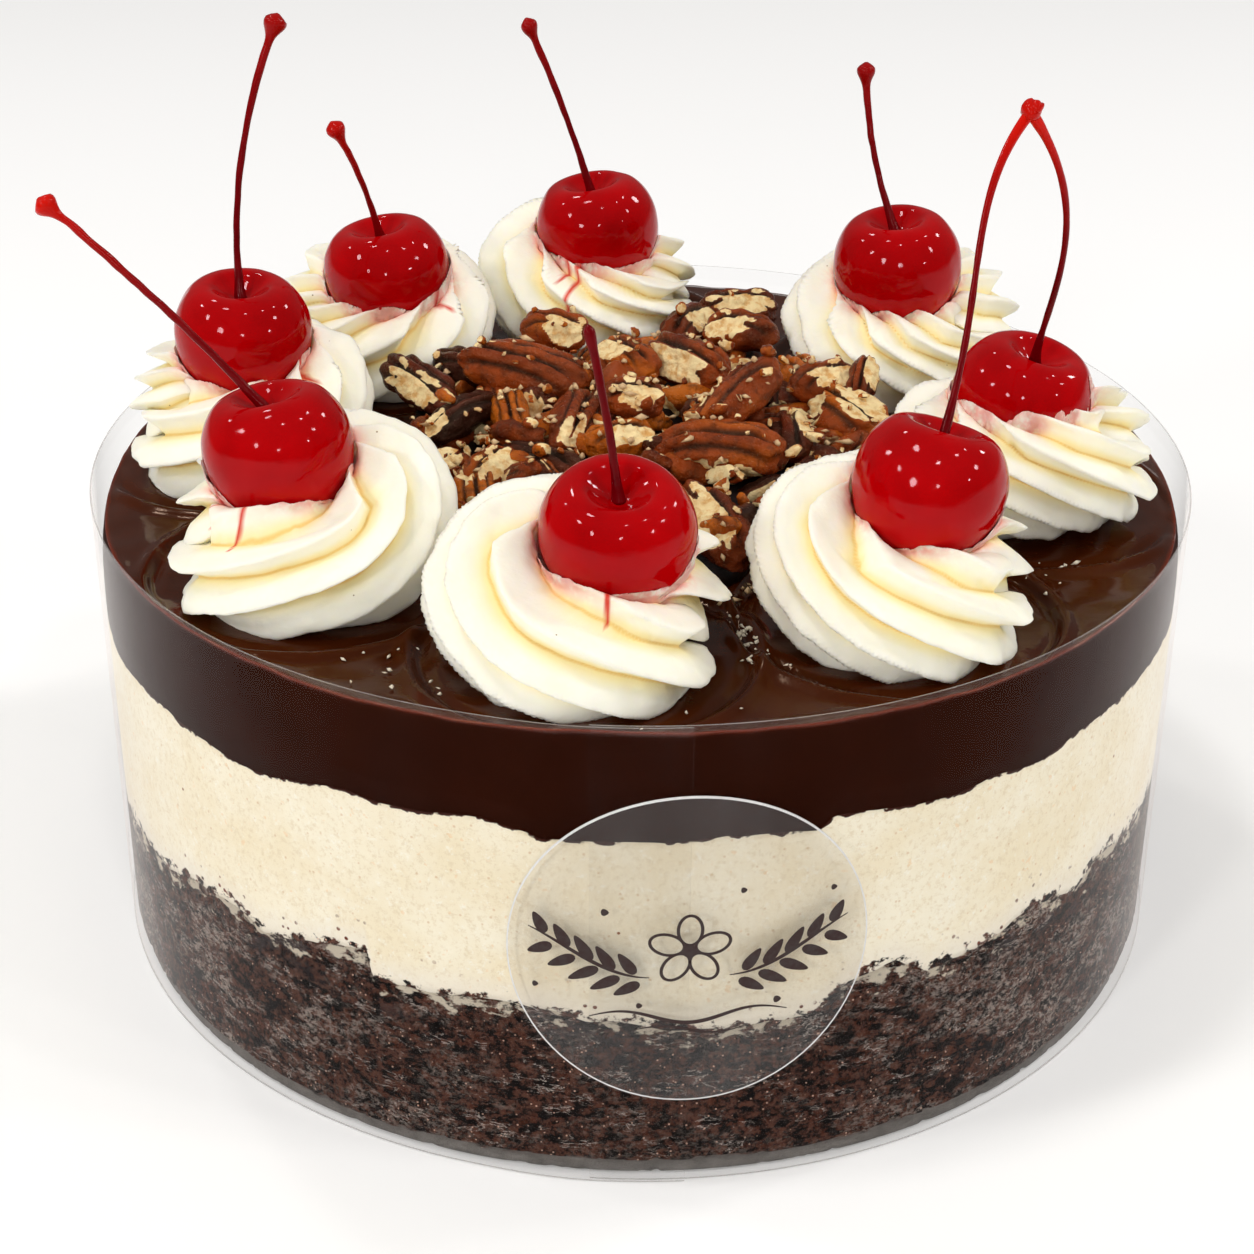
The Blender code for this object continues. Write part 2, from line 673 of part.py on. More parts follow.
def make_heap(group, helpers):
    """The core and the nuts that show, joined by one Boolean union."""
    nut = finish("pecan", rgb(126, 66, 34), 0.6)
    draw = random.Random(3)
    for piece in LARGE_NUTS:
        add_nut(piece, True, draw, helpers)
    for piece in fill_layout():
        add_nut(piece, False, draw, helpers)
    core = heap_core(group)
    union = core.modifiers.new("union", "BOOLEAN")
    union.operation = "UNION"
    union.operand_type = "COLLECTION"
    union.collection = helpers
    union.solver = "EXACT"
    heap = applied(core, "pecan_heap", group, nut)
    keep_largest_part(heap)
    for obj in list(helpers.objects):
        bpy.data.objects.remove(obj, do_unlink=True)
    bpy.data.collections.remove(helpers)
    shade_round(heap.data)


def main():
    clear_scene()
    cake = collection("cherry_cheesecake")
    make_layers(cake)
    make_film(cake)
    make_label(cake)
    make_swirls(cake)
    make_heap(cake, collection("nuts"))


main()
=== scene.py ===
import math
import random

import bpy
import numpy as np
from mathutils import Matrix, Vector


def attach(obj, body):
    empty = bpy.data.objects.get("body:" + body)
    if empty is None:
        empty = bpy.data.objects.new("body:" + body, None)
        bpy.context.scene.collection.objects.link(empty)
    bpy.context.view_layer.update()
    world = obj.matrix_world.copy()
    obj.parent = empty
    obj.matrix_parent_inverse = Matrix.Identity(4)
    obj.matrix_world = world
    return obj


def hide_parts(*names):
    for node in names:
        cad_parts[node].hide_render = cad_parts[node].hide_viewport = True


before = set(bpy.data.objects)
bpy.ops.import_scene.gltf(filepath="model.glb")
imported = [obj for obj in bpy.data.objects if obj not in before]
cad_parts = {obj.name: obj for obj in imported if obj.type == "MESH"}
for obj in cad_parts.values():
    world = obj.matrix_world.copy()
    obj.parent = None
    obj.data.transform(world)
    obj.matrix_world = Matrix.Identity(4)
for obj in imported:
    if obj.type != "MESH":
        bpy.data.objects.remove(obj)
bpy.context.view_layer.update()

# Sizes, in metres
CAKE_R = 0.0891
CAKE_TOP = 0.0767
FILM_R = 0.08945
FILM_H = 0.0785
FILM_T = 0.00025
GAP = 0.0003
SEAM = math.radians(4.5)
LAP = math.radians(9.0)
RAMP = math.radians(12.0)
LABEL_R = 0.0260
LABEL_Z = 0.0421
LABEL_OUT = FILM_R + 2 * (FILM_T + GAP) + GAP
CHERRY_R = 0.0113
HIGHEST = 0.1479
CRUMB_WAVES = (0.0007, 3)
CHEESE_WAVES = (0.0004, 8)
FULL_TURN = 2 * math.pi
GOLDEN = math.pi * (3.0 - math.sqrt(5.0))

# The top of the crumb and of the cheesecake layer at the side: degrees from the front, height in mm
CRUMB_LINE = [(-180, 30.5), (-160, 29), (-140, 31), (-120, 29.5), (-100, 31), (-85, 28), (-73.7, 25.6),
              (-66, 26.7), (-57.8, 27.6), (-48.9, 30.5), (-42.3, 31.0), (-39.5, 29.4), (-34.1, 32.2),
              (-29.2, 33.2), (-26.6, 33.9), (-26.0, 28.9), (-22.8, 29.4), (-11, 30.4), (-3.5, 28.6),
              (5.7, 26.9), (11.3, 27.4), (17.1, 27.5), (20, 32.1), (25.1, 34.0), (28.6, 29.9),
              (34.5, 30.9), (42.5, 33.7), (49.4, 31.1), (53.1, 33.8), (60.9, 31.7), (68.9, 31.1),
              (85, 29), (100, 31), (120, 29), (140, 30.5), (160, 31)]
CHEESE_LINE = [(-180, 60.5), (-150, 59.5), (-120, 60.5), (-90, 59), (-68.4, 58.3), (-56, 59.2), (-46.4, 58.9),
               (-40.5, 58.0), (-32.7, 59.9), (-28.2, 61.3), (-22, 60.6), (-14.3, 61.5), (-8.4, 59.3),
               (0, 59.4), (10.6, 59.9), (16.2, 59.2), (17.5, 61.0), (19, 61.3), (23.9, 60.7), (30.4, 59.9),
               (35.1, 60.7), (40.3, 59.9), (49.6, 61.1), (58, 61.6), (65.6, 61.8), (90, 60.5), (120, 59.5),
               (150, 60.5)]

# Each swirl: centre, radius, turning sense, the angle where its rope ends, then its cherry's centre
# (the height is above the cake's top) and lean, the turn of its ridges and the juice that runs off.
# One swirl is fuller in front and lower behind.
SWIRLS = [
    dict(at=(-0.0080, -0.0655), radius=0.0230, hand=1, end=45, cherry=(-0.0035, -0.0662, 0.0189),
         lean=16, towards=8, phase=0.10, streaks=[(-4, 0.0050)]),
    dict(at=(0.0375, -0.0545), radius=0.0223, hand=1, end=48, cherry=(0.0411, -0.0534, 0.0208),
         lean=19, towards=129, phase=0.45, streaks=[]),
    dict(at=(0.0615, -0.0140), radius=0.0230, hand=1, end=50, cherry=(0.0601, -0.0133, 0.0172),
         lean=15.5, towards=76, phase=0.70, streaks=[], full=0.0042),
    dict(at=(0.0480, 0.0400), radius=0.0225, hand=1, end=36, cherry=(0.0451, 0.0380, 0.0206),
         lean=6, towards=-60, phase=0.20, streaks=[]),
    dict(at=(-0.0090, 0.0620), radius=0.0215, hand=1, end=50, cherry=(-0.0080, 0.0612, 0.0191),
         lean=8, towards=-90, phase=0.60, streaks=[(-17, 0.0110), (-27, 0.0050)]),
    dict(at=(-0.0475, 0.0415), radius=0.0215, hand=-1, end=45, cherry=(-0.0448, 0.0400, 0.0179),
         lean=9, towards=-80, phase=0.35, streaks=[(55, 0.0040)]),
    dict(at=(-0.0655, 0.0020), radius=0.0215, hand=-1, end=42, cherry=(-0.0652, 0.0036, 0.0206),
         lean=5, towards=20, phase=0.15, streaks=[(60, 0.0060)]),
    dict(at=(-0.0500, -0.0420), radius=0.0230, hand=-1, end=50, cherry=(-0.0538, -0.0408, 0.0199),
         lean=10, towards=-110, phase=0.80, streaks=[(-18, 0.0085), (-52, 0.0045)]),
]
NEAR_SWIRLS = (0, 1, 2, 7)
STEMS = [
    dict(swirl=0, tip=(-0.0076, -0.0650, 0.1262), bow=(0.0004, 0.0, 0.0), knob=0.12, red=0.0),
    dict(swirl=3, tip=(0.0384, 0.0450, 0.1315), bow=(-0.0014, 0.0, 0.0), knob=1.0, red=0.3),
    dict(swirl=4, tip=(-0.0208, 0.0640, 0.1338), bow=(0.0006, 0.0, 0.0), knob=0.8, red=0.3),
    dict(swirl=5, tip=(-0.0528, 0.0350, 0.1235), bow=(0.0009, 0.0, 0.0), knob=0.9, red=0.6),
    dict(swirl=6, tip=(-0.0575, 0.0130, 0.1475), bow=(-0.0029, 0.0, 0.0), knob=1.0, red=0.4),
    dict(swirl=7, tip=(-0.0865, -0.0360, 0.1335), bow=(0.0, 0.0, 0.0012), knob=1.0, red=0.9),
]
# The forked stem: its two swirls, each leg's bow and how far up it bows, and where the legs meet.
TWIN = ((1, (-0.0026, 0.0, 0.0), 3.0), (2, (0.0051, 0.0, 0.0), 1.5))
TWIN_APEX = (0.0550, -0.0300, 0.1452)

# The large nuts: centre (height above the cake's top), yaw, pitch, roll, length, width, thickness in mm
# and degrees, then how dark the skin is and the broken faces, each a direction and how far out it lies.
NUTS = [
    (-20, 13, 11, -24, -5, 22, 23, 10.5, 8, 0.42, [(-1, 0.3, 0.3, 0.86)]),
    (-37.5, 13, 8, -49, -6, 30, 19, 8, 6.5, 0.80, [(0.1, -0.5, 0.9, 0.42)]),
    (-30, 21.5, 8, -29, 0, 10, 15, 7, 6, 0.85, [(0.7, -0.4, 0.6, 0.60)]),
    (-29.7, -0.5, 8, 53, 3, 0, 17.8, 7, 6, 0.95, [(-0.9, 0.2, 0.5, 0.75)]),
    (-21.4, 0.1, 8.5, -82, -3, 15, 15, 6, 6.5, 0.10, [(-0.8, 0.1, 0.6, 0.72)]),
    (-10.5, -4.5, 9, -101, -5, -25, 17, 8.5, 7.5, 0.55, [(0.8, 0.2, 0.5, 0.80)]),
    (-15.9, -14.5, 6, -34, 0, 0, 16, 8, 6, 0.90, []),
    (-26, -22.5, 4.5, -82, -8, 0, 15, 7, 7, 0.15, [(-0.4, -0.1, 0.9, 0.62), (0.9, 0, 0.3, 0.8)]),
    (-15, 32.5, 10, -31, 5, 0, 13, 7, 7.5, 0.40, [(0.5, -0.6, 0.5, 0.45)]),
    (-2.3, 22.5, 9, -50, 0, 0, 14, 8, 7, 0.30, [(-0.3, -0.5, 0.7, 0.50)]),
    (-1.2, 1.7, 10.5, -6, 0, 0, 10, 9, 7, 0.50, [(0.2, -0.5, 0.8, 0.35)]),
    (8.3, 19, 10, -55, 2, 25, 21.5, 9.5, 8, 0.50, [(0, -0.75, 0.65, 0.45)]),
    (15.7, 0.2, 11.5, 53, 10, -20, 20.5, 9, 8, 0.45, [(-0.1, 0.8, 0.6, 0.55)]),
    (12.8, -13.4, 8.5, -12, 0, 22, 21, 11, 8.5, 0.40, [(0, -0.75, -0.2, 0.66)]),
    (11.7, -34.5, 5, -71, -7, -15, 20, 10, 8, 0.60, [(0.1, -0.7, 0.7, 0.40)]),
    (15.2, 55.5, 6, 5, 0, 0, 15, 8.5, 7.5, 0.65, [(0.1, -0.5, 0.8, 0.55)]),
    (18, 38, 8, -11, 0, 0, 13, 8.5, 7.5, 0.55, [(-0.4, -0.5, 0.6, 0.55)]),
    (28.5, 19, 7, -70, 2, 0, 15, 8, 7, 0.20, [(0.5, 0.4, 0.7, 0.62)]),
    (34.5, 3.5, 7, -55, -3, 10, 17, 12, 8, 0.30, [(0.2, 0.4, 0.8, 0.38), (-0.7, -0.6, 0.4, 0.7)]),
    (25.1, -4.5, 6, -87, -3, 0, 15, 9, 7, 0.75, [(-0.2, 0.6, 0.7, 0.62)]),
    (-33, -14, 4.6, 40, 0, 0, 11, 7.5, 6.5, 0.60, [(0.2, -0.3, 0.9, 0.30)]),
    (-39, -6.6, 4.2, 10, 0, 0, 10, 7, 6, 0.45, [(0.4, 0.2, 0.8, 0.45)]),
    (-23.8, -17.2, 6.5, 60, 8, 0, 11, 7.5, 6, 0.35, [(0, -0.5, 0.8, 0.22)]),
    (-3.5, -10.5, 8.3, 20, 0, 0, 12, 7.5, 7, 0.15, [(0.3, -0.5, 0.7, 0.55)]),
    (5.5, 46, 6.5, 60, 0, 0, 14, 7.5, 7, 0.70, [(0.2, -0.6, 0.7, 0.50)]),
    (31, 12, 9.5, 25, 4, 0, 12.5, 8, 6.5, 0.55, [(0.3, -0.5, 0.7, 0.45)]),
    (37.4, 10.8, 10.6, 75, 28, 0, 9, 5, 4.5, 0.55, [(0.2, -0.7, 0.6, 0.35)]),
    (-43.4, -17.2, 5.2, -30, 12, 0, 7.5, 5, 2.6, 0.20, [(0, -0.2, 1, 0.05)]),
]
SMALL_NUTS = 128
NUT_BITS = 170
HEAP_REACH = 0.0405
CORE_H = 0.0048
# Where the heap runs out between two swirls: angle, reach and half width.
HEAP_GAPS = [(14, 0.0490, 14), (165, 0.0610, 16), (-36, 0.0460, 12), (98, 0.0480, 16), (-115, 0.0430, 12)]


# Tools: numbers, noise and meshes


def direction(angle):
    """Unit vectors at angles round Z from -Y, positive towards +X."""
    angle = np.asarray(angle, float)
    return np.stack([np.sin(angle), -np.cos(angle), np.zeros_like(angle)], -1)


def eased(low, high, value):
    share = np.clip((np.asarray(value, float) - low) / (high - low), 0.0, 1.0)
    return share * share * (3.0 - 2.0 * share)


def noise(points, size, seed=0):
    """Smooth noise from -1 to 1 at points, with lumps of about a size."""
    p = np.asarray(points, float) / size + 517.3
    cell = np.floor(p).astype(np.int64)
    part = p - cell
    part = part * part * (3.0 - 2.0 * part)
    total = np.zeros(len(p))
    for corner in np.ndindex(2, 2, 2):
        dx, dy, dz = corner
        h = (cell[:, 0] + dx) * 374761393 + (cell[:, 1] + dy) * 668265263
        h = (h + (cell[:, 2] + dz) * 1274126177 + seed * 974634777) & 0xFFFFFFFF
        h = ((h ^ (h >> 13)) * 1103515245) & 0xFFFFFFFF
        h = ((h ^ (h >> 16)) * 2246822519) & 0xFFFFFFFF
        value = ((h >> 8) & 0xFFFF) / 32767.5 - 1.0
        shares = [part[:, i] if corner[i] else 1 - part[:, i] for i in range(3)]
        total += value * (shares[0] * shares[1]) * shares[2]
    return total


def build(name, points, faces, material, node=None, values=None, smooth=True):
    """A mesh piece of the object, with its values for each point stored for its material."""
    mesh = bpy.data.meshes.new(name)
    mesh.from_pydata(np.asarray(points, float).tolist(), [], [list(face) for face in faces])
    mesh.validate()
    if smooth:
        mesh.shade_smooth()
    for key, numbers in (values or {}).items():
        mesh.attributes.new(key, "FLOAT", "POINT").data.foreach_set("value", np.asarray(numbers, np.float32))
    mesh.materials.append(material)
    obj = bpy.data.objects.new(name, mesh)
    bpy.context.scene.collection.objects.link(obj)
    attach(obj, "root")
    if node:
        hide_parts(node)


class Pile:
    """Parts that are built as a single mesh."""

    def __init__(self):
        self.points, self.faces, self.values, self.count = [], [], {}, 0

    def add(self, points, faces, values=None):
        self.points.append(points)
        self.faces += [[v + self.count for v in face] for face in faces]
        self.count += len(points)
        for key, numbers in (values or {}).items():
            self.values.setdefault(key, []).append(numbers)

    def build(self, name, material, node, slot, highest=1.0):
        points = np.vstack(self.points)
        points[:, 2] = np.minimum(points[:, 2], highest)
        values = {key: np.concatenate(numbers) for key, numbers in self.values.items()}
        build(name, points, self.faces, material, node, values)
        return points


def flipped(faces):
    return [face[::-1] for face in faces]


def grid_faces(rows, columns, closed, start=0):
    """Quads between rows of points; closed joins each row's last point to its first."""
    r = np.arange(rows - 1)[:, None]
    c = np.arange(columns if closed else columns - 1)[None, :]
    a = r * columns + c
    b = r * columns + (c + 1) % columns
    quads = np.stack([a, b, b + columns, a + columns], -1).reshape(-1, 4)
    return (quads + start).tolist()


def fan(ring, centre, flip=False):
    ring = list(ring)
    faces = [[centre, ring[i], ring[(i + 1) % len(ring)]] for i in range(len(ring))]
    return flipped(faces) if flip else faces


def capped(points, columns, first, last, flip=False):
    """Rows of points as a closed tube, with a fan over its first ring and over its last one."""
    count = len(points)
    faces = grid_faces(count // columns, columns, True)
    faces = flipped(faces) if flip else faces
    faces += fan(range(columns), count, not flip) + fan(range(count - columns, count), count + 1, flip)
    return np.vstack([points, first, last]), faces


# Looks: node materials


def rgb(red, green, blue):
    def linear(value):
        share = value / 255.0
        return share / 12.92 if share <= 0.04045 else ((share + 0.055) / 1.055) ** 2.4
    return (linear(red), linear(green), linear(blue), 1.0)


class Look:
    """A node material with a Principled shader."""

    def __init__(self, name):
        self.material = bpy.data.materials.new(name)
        self.material.use_nodes = True
        self.tree = self.material.node_tree
        self.shader = self.tree.nodes["Principled BSDF"]
        self.place = self.add("ShaderNodeTexCoord").outputs["Object"]

    def add(self, kind, **settings):
        node = self.tree.nodes.new(kind)
        for key, value in settings.items():
            setattr(node, key, value)
        return node

    def put(self, node, **values):
        """Links or sets inputs by name; an input's number goes after an n."""
        for key, value in values.items():
            socket = node.inputs[int(key[1:]) if key[1:].isdigit() else key.replace("_", " ")]
            if isinstance(value, bpy.types.NodeSocket):
                self.tree.links.new(value, socket)
            else:
                socket.default_value = value
        return node

    def finish(self, colour, rough, gloss, normal, **more):
        self.put(self.shader, Base_Color=colour, Roughness=rough, Specular_IOR_Level=gloss)
        self.put(self.shader, Normal=normal, **more)
        return self.material

    def values(self, *names):
        return [self.add("ShaderNodeAttribute", attribute_name=name).outputs["Fac"] for name in names]

    def noise(self, size, detail=2.0, rough=0.5, stretch=None):
        place = self.place
        if stretch:
            place = self.put(self.add("ShaderNodeMapping"), Scale=stretch, Vector=place).outputs["Vector"]
        node = self.add("ShaderNodeTexNoise")
        self.put(node, Vector=place, Scale=1.0 / size, Detail=detail, Roughness=rough)
        return node.outputs["Fac"]

    def cells(self, size):
        node = self.put(self.add("ShaderNodeTexVoronoi"), Vector=self.place, Scale=1.0 / size)
        return node.outputs["Distance"]

    def math(self, operation, a, b=0.0, clamp=False):
        node = self.add("ShaderNodeMath", operation=operation, use_clamp=clamp)
        return self.put(node, n0=a, n1=b).outputs[0]

    def times(self, a, b, clamp=False):
        return self.math("MULTIPLY", a, b, clamp)

    def plus(self, a, b):
        return self.math("ADD", a, b)

    def less(self, a, b):
        return self.math("SUBTRACT", a, b)

    def span(self, value, low, high, to_low=0.0, to_high=1.0):
        """The value's share of the way from low to high, smoothed."""
        node = self.add("ShaderNodeMapRange", interpolation_type="SMOOTHSTEP")
        self.put(node, Value=value, From_Min=low, From_Max=high, To_Min=to_low, To_Max=to_high)
        return node.outputs["Result"]

    def part(self, value, low, high, most):
        return self.times(self.span(value, low, high), most)

    def ragged(self, pattern, edge, slope, limit, sharp):
        """Full where the pattern passes a limit that rises with the edge's value."""
        return self.times(self.less(pattern, self.plus(self.times(edge, slope), limit)), sharp, True)

    def mix(self, share, a, b):
        return self.put(self.add("ShaderNodeMix", data_type="RGBA"), n0=share, n6=a, n7=b).outputs[2]

    def over(self, colour, share, *shade):
        """The colour with a share of another one, given as red, green and blue, laid over it."""
        return self.mix(share, colour, rgb(*shade))

    def bump(self, height, distance, strength=1.0, below=None):
        node = self.put(self.add("ShaderNodeBump"), Height=height, Distance=distance, Strength=strength)
        if below is not None:
            self.put(node, Normal=below)
        return node.outputs["Normal"]


def crumb_colour(look):
    """Dark chocolate crumb: brown grains and redder ones, near-black pores and pits that are painted shade,
    and a few pale specks that are painted highlights.
    """
    grains = look.noise(0.0011, 5.0, 0.78)
    # Painted shade: the near-black end of the grains darkens the crumb's pores.
    colour = look.mix(look.span(grains, 0.40, 0.60), rgb(14, 8, 8), rgb(100, 64, 52))
    colour = look.over(colour, look.part(look.noise(0.0016, 3.0, 0.7), 0.52, 0.66, 0.5), 104, 54, 34)
    # Painted shade: near-black blots in the crumb's deeper pits.
    pit_shade_blots = look.noise(0.0021, 3.0, 0.6, (0.75, 0.75, 1.3))
    colour = look.over(colour, look.part(pit_shade_blots, 0.49, 0.42, 0.95), 6, 4, 5)
    # Painted highlights: pale specks where grains catch the light.
    some = look.span(look.noise(0.0045, 2.0, 0.6), 0.46, 0.55)
    glint_specks = look.times(look.span(look.cells(0.0011), 0.18, 0.10), some)
    return look.over(colour, glint_specks, 226, 184, 160), grains


def cheese_colour(look):
    """Ivory cream cheese with fine orange and brown specks and paler milky clouds."""
    cloud = look.noise(0.012, 4.0, 0.6)
    colour = look.mix(look.span(cloud, 0.3, 0.7), rgb(243, 230, 200), rgb(249, 241, 219))
    colour = look.over(colour, look.part(look.noise(0.0010, 5.0, 0.82), 0.50, 0.62, 0.5), 224, 206, 172)
    colour = look.over(colour, look.part(look.noise(0.0016, 4.0, 0.8), 0.56, 0.68, 0.6), 253, 249, 236)
    colour = look.over(colour, look.part(look.noise(0.0015, 2.0, 0.5), 0.67, 0.74, 0.4), 238, 196, 138)
    colour = look.over(colour, look.part(look.cells(0.0022), 0.13, 0.06, 0.45), 206, 164, 112)
    return look.over(colour, look.span(look.cells(0.0090), 0.036, 0.020), 150, 92, 50)


def crumb_look():
    look = Look("crumb")
    crumb, grains = crumb_colour(look)
    below, foot, sides = look.values("below", "foot", "sides")
    # Damp grey places where the film clings, then thin pale streaks along the film.
    damp = look.span(look.noise(0.0110, 5.0, 0.7, (1.0, 1.0, 1.8)), 0.52, 0.60)
    colour = look.over(crumb, look.times(damp, look.span(below, 0.0095, 0.0, 0.0, 0.9)), 66, 57, 58)
    line = look.math("ABSOLUTE", look.less(look.noise(0.0056, 5.0, 0.66, (1.0, 1.0, 3.2)), 0.5))
    where = look.span(look.noise(0.0080, 4.0, 0.7, (1.0, 1.0, 1.6)), 0.50, 0.60)
    streaks = look.times(look.span(line, 0.014, 0.004), where)
    colour = look.over(colour, look.times(streaks, 0.9), 210, 196, 186)
    # Painted reflection: a pale sheen of the film that grows towards the sides, away from the camera's front.
    haze = look.span(look.noise(0.0013, 5.0, 0.85, (1.0, 1.0, 1.6)), 0.48, 0.58)
    wide = look.span(look.noise(0.0130, 4.0, 0.7, (1.0, 1.0, 1.6)), 0.44, 0.60)
    colour = look.over(colour, look.times(look.times(haze, wide), sides), 176, 160, 150)
    # Cream smeared on the crumb near the layer's top, then painted shade at its foot: a grey band for the
    # shadowed board seen under the crumb through the film.
    patches = look.noise(0.0042, 4.0, 0.62, (1.0, 1.0, 1.7))
    smear = look.ragged(patches, look.span(below, 0.0, 0.0075), 0.25, 0.50, 16.0)
    colour = look.over(colour, smear, 226, 214, 194)
    foot_shade = look.noise(0.0035, 3.0, 0.6, (1.0, 1.0, 2.0))
    colour = look.mix(foot, colour, look.mix(foot_shade, rgb(84, 78, 74), rgb(160, 154, 148)))
    fine = look.noise(0.0006, 3.0, 0.7)
    holes = look.bump(fine, 0.0003, 0.8, look.bump(grains, 0.0011, 1.0))
    return look.finish(colour, look.span(fine, 0.2, 0.8, 0.65, 0.95), 0.12, holes)


def cheese_look():
    look = Look("cheesecake")
    cheese = cheese_colour(look)
    crumb, _ = crumb_colour(look)
    above, under = look.values("above", "under")
    # Milkier just above the crumb, with grains of it in the cream.
    cheese = look.over(cheese, look.span(above, 0.0060, 0.0, 0.0, 0.7), 238, 230, 216)
    few = look.span(look.noise(0.0050, 3.0, 0.6, (1.0, 1.0, 1.5)), 0.52, 0.60)
    close = look.span(above, 0.0085, 0.0015)
    grains = look.times(look.span(look.cells(0.0015), 0.26, 0.18), look.times(few, close))
    shade = look.mix(look.noise(0.0020, 1.0, 0.5), rgb(40, 22, 16), rgb(140, 62, 30))
    cheese = look.mix(grains, cheese, shade)
    patches = look.noise(0.0030, 4.0, 0.66, (1.0, 1.0, 1.4))
    crumbs = look.ragged(patches, look.span(above, 0.0, 0.0040), 0.32, 0.47, 18.0)
    # The chocolate above dips into it here and there.
    drops = look.ragged(look.noise(0.0030, 3.0, 0.6), look.span(under, 0.0, 0.0013), 0.42, 0.42, 18.0)
    colour = look.over(look.mix(crumbs, cheese, crumb), drops, 58, 24, 14)
    fine = look.noise(0.0010, 4.0, 0.7)
    uneven = look.bump(fine, 0.00025, 0.7, look.bump(look.noise(0.006, 3.0, 0.5), 0.0008, 0.5))
    return look.finish(colour, look.span(fine, 0.2, 0.8, 0.5, 0.75), 0.12, uneven)


def ganache_look():
    look = Look("ganache")
    side, line = look.values("side", "line")
    # The top's chocolate, then the side's: painted shade makes the side a darker copy of the same chocolate.
    top = look.mix(look.noise(0.02, 3.0, 0.5), rgb(40, 12, 3), rgb(74, 29, 6))
    low = look.mix(look.noise(0.012, 4.0, 0.6), rgb(34, 11, 5), rgb(48, 18, 9))
    # Painted highlight: a brighter reddish line along the edge where the chocolate meets the film.
    colour = look.over(look.mix(side, top, low), look.times(line, 0.85), 116, 38, 18)
    ripples = look.bump(look.noise(0.016, 2.0, 0.4), 0.0016, 0.8)
    fine = look.times(look.noise(0.0016, 3.0, 0.6), look.less(1.0, side))
    # The side lies dull behind the film.
    level = look.less(0.20, look.times(side, 0.19))
    rough = look.plus(look.span(look.noise(0.03, 3.0, 0.6), 0.3, 0.7, 0.08, 0.22), look.times(side, 0.6))
    return look.finish(colour, rough, level, look.bump(fine, 0.00006, 0.4, ripples),
                       Specular_Tint=(1.0, 0.58, 0.30, 1.0))


def cream_look():
    look = Look("cream")
    deep, stain, streak = look.values("deep", "stain", "streak")
    colour = look.mix(look.noise(0.007, 3.0, 0.5), rgb(253, 248, 225), rgb(255, 252, 238))
    # Painted shade: warm yellow laid into the creases, stronger in the deepest valleys.
    colour = look.over(colour, look.part(deep, 0.35, 1.0, 0.85), 251, 231, 158)
    colour = look.over(colour, look.part(deep, 0.84, 1.0, 0.75), 236, 196, 100)
    pink = look.times(stain, look.span(look.noise(0.0022, 3.0, 0.6), 0.25, 0.60))
    colour = look.over(colour, look.times(pink, 0.8), 248, 160, 148)
    colour = look.over(colour, streak, 214, 46, 24)
    colour = look.over(colour, look.span(look.cells(0.0060), 0.030, 0.018), 150, 128, 92)
    fine = look.noise(0.0009, 4.0, 0.65)
    soft = look.bump(fine, 0.00012, 0.5, look.bump(look.noise(0.0040, 3.0, 0.5), 0.0006, 0.40))
    return look.finish(colour, look.span(fine, 0.2, 0.8, 0.45, 0.65), 0.25, soft,
                       Subsurface_Weight=0.30, Subsurface_Radius=(1.0, 0.80, 0.45), Subsurface_Scale=0.0030)


def cherry_look():
    look = Look("cherry")
    low, = look.values("low")
    cloud = look.noise(0.009, 3.0, 0.55)
    # Painted light: the lower part is a brighter red, as if lit through the fruit.
    colour = look.over(look.mix(cloud, rgb(132, 0, 2), rgb(190, 0, 5)), look.times(low, 0.6), 216, 0, 10)
    dents = look.bump(look.noise(0.005, 2.0, 0.4), 0.0005, 0.35)
    return look.finish(colour, look.span(cloud, 0.2, 0.8, 0.03, 0.08), 0.14, dents,
                       Specular_Tint=(1.0, 0.82, 0.90, 1.0))


def stem_look():
    look = Look("stem")
    tip, = look.values("tip")
    cloud = look.noise(0.004, 3.0, 0.6)
    colour = look.over(look.mix(cloud, rgb(62, 0, 5), rgb(122, 0, 8)), tip, 214, 22, 8)
    skin = look.bump(look.noise(0.0012, 3.0, 0.6), 0.00010, 0.5)
    return look.finish(colour, look.span(cloud, 0.3, 0.7, 0.14, 0.28), 0.14, skin,
                       Specular_Tint=(1.0, 0.6, 0.6, 1.0))


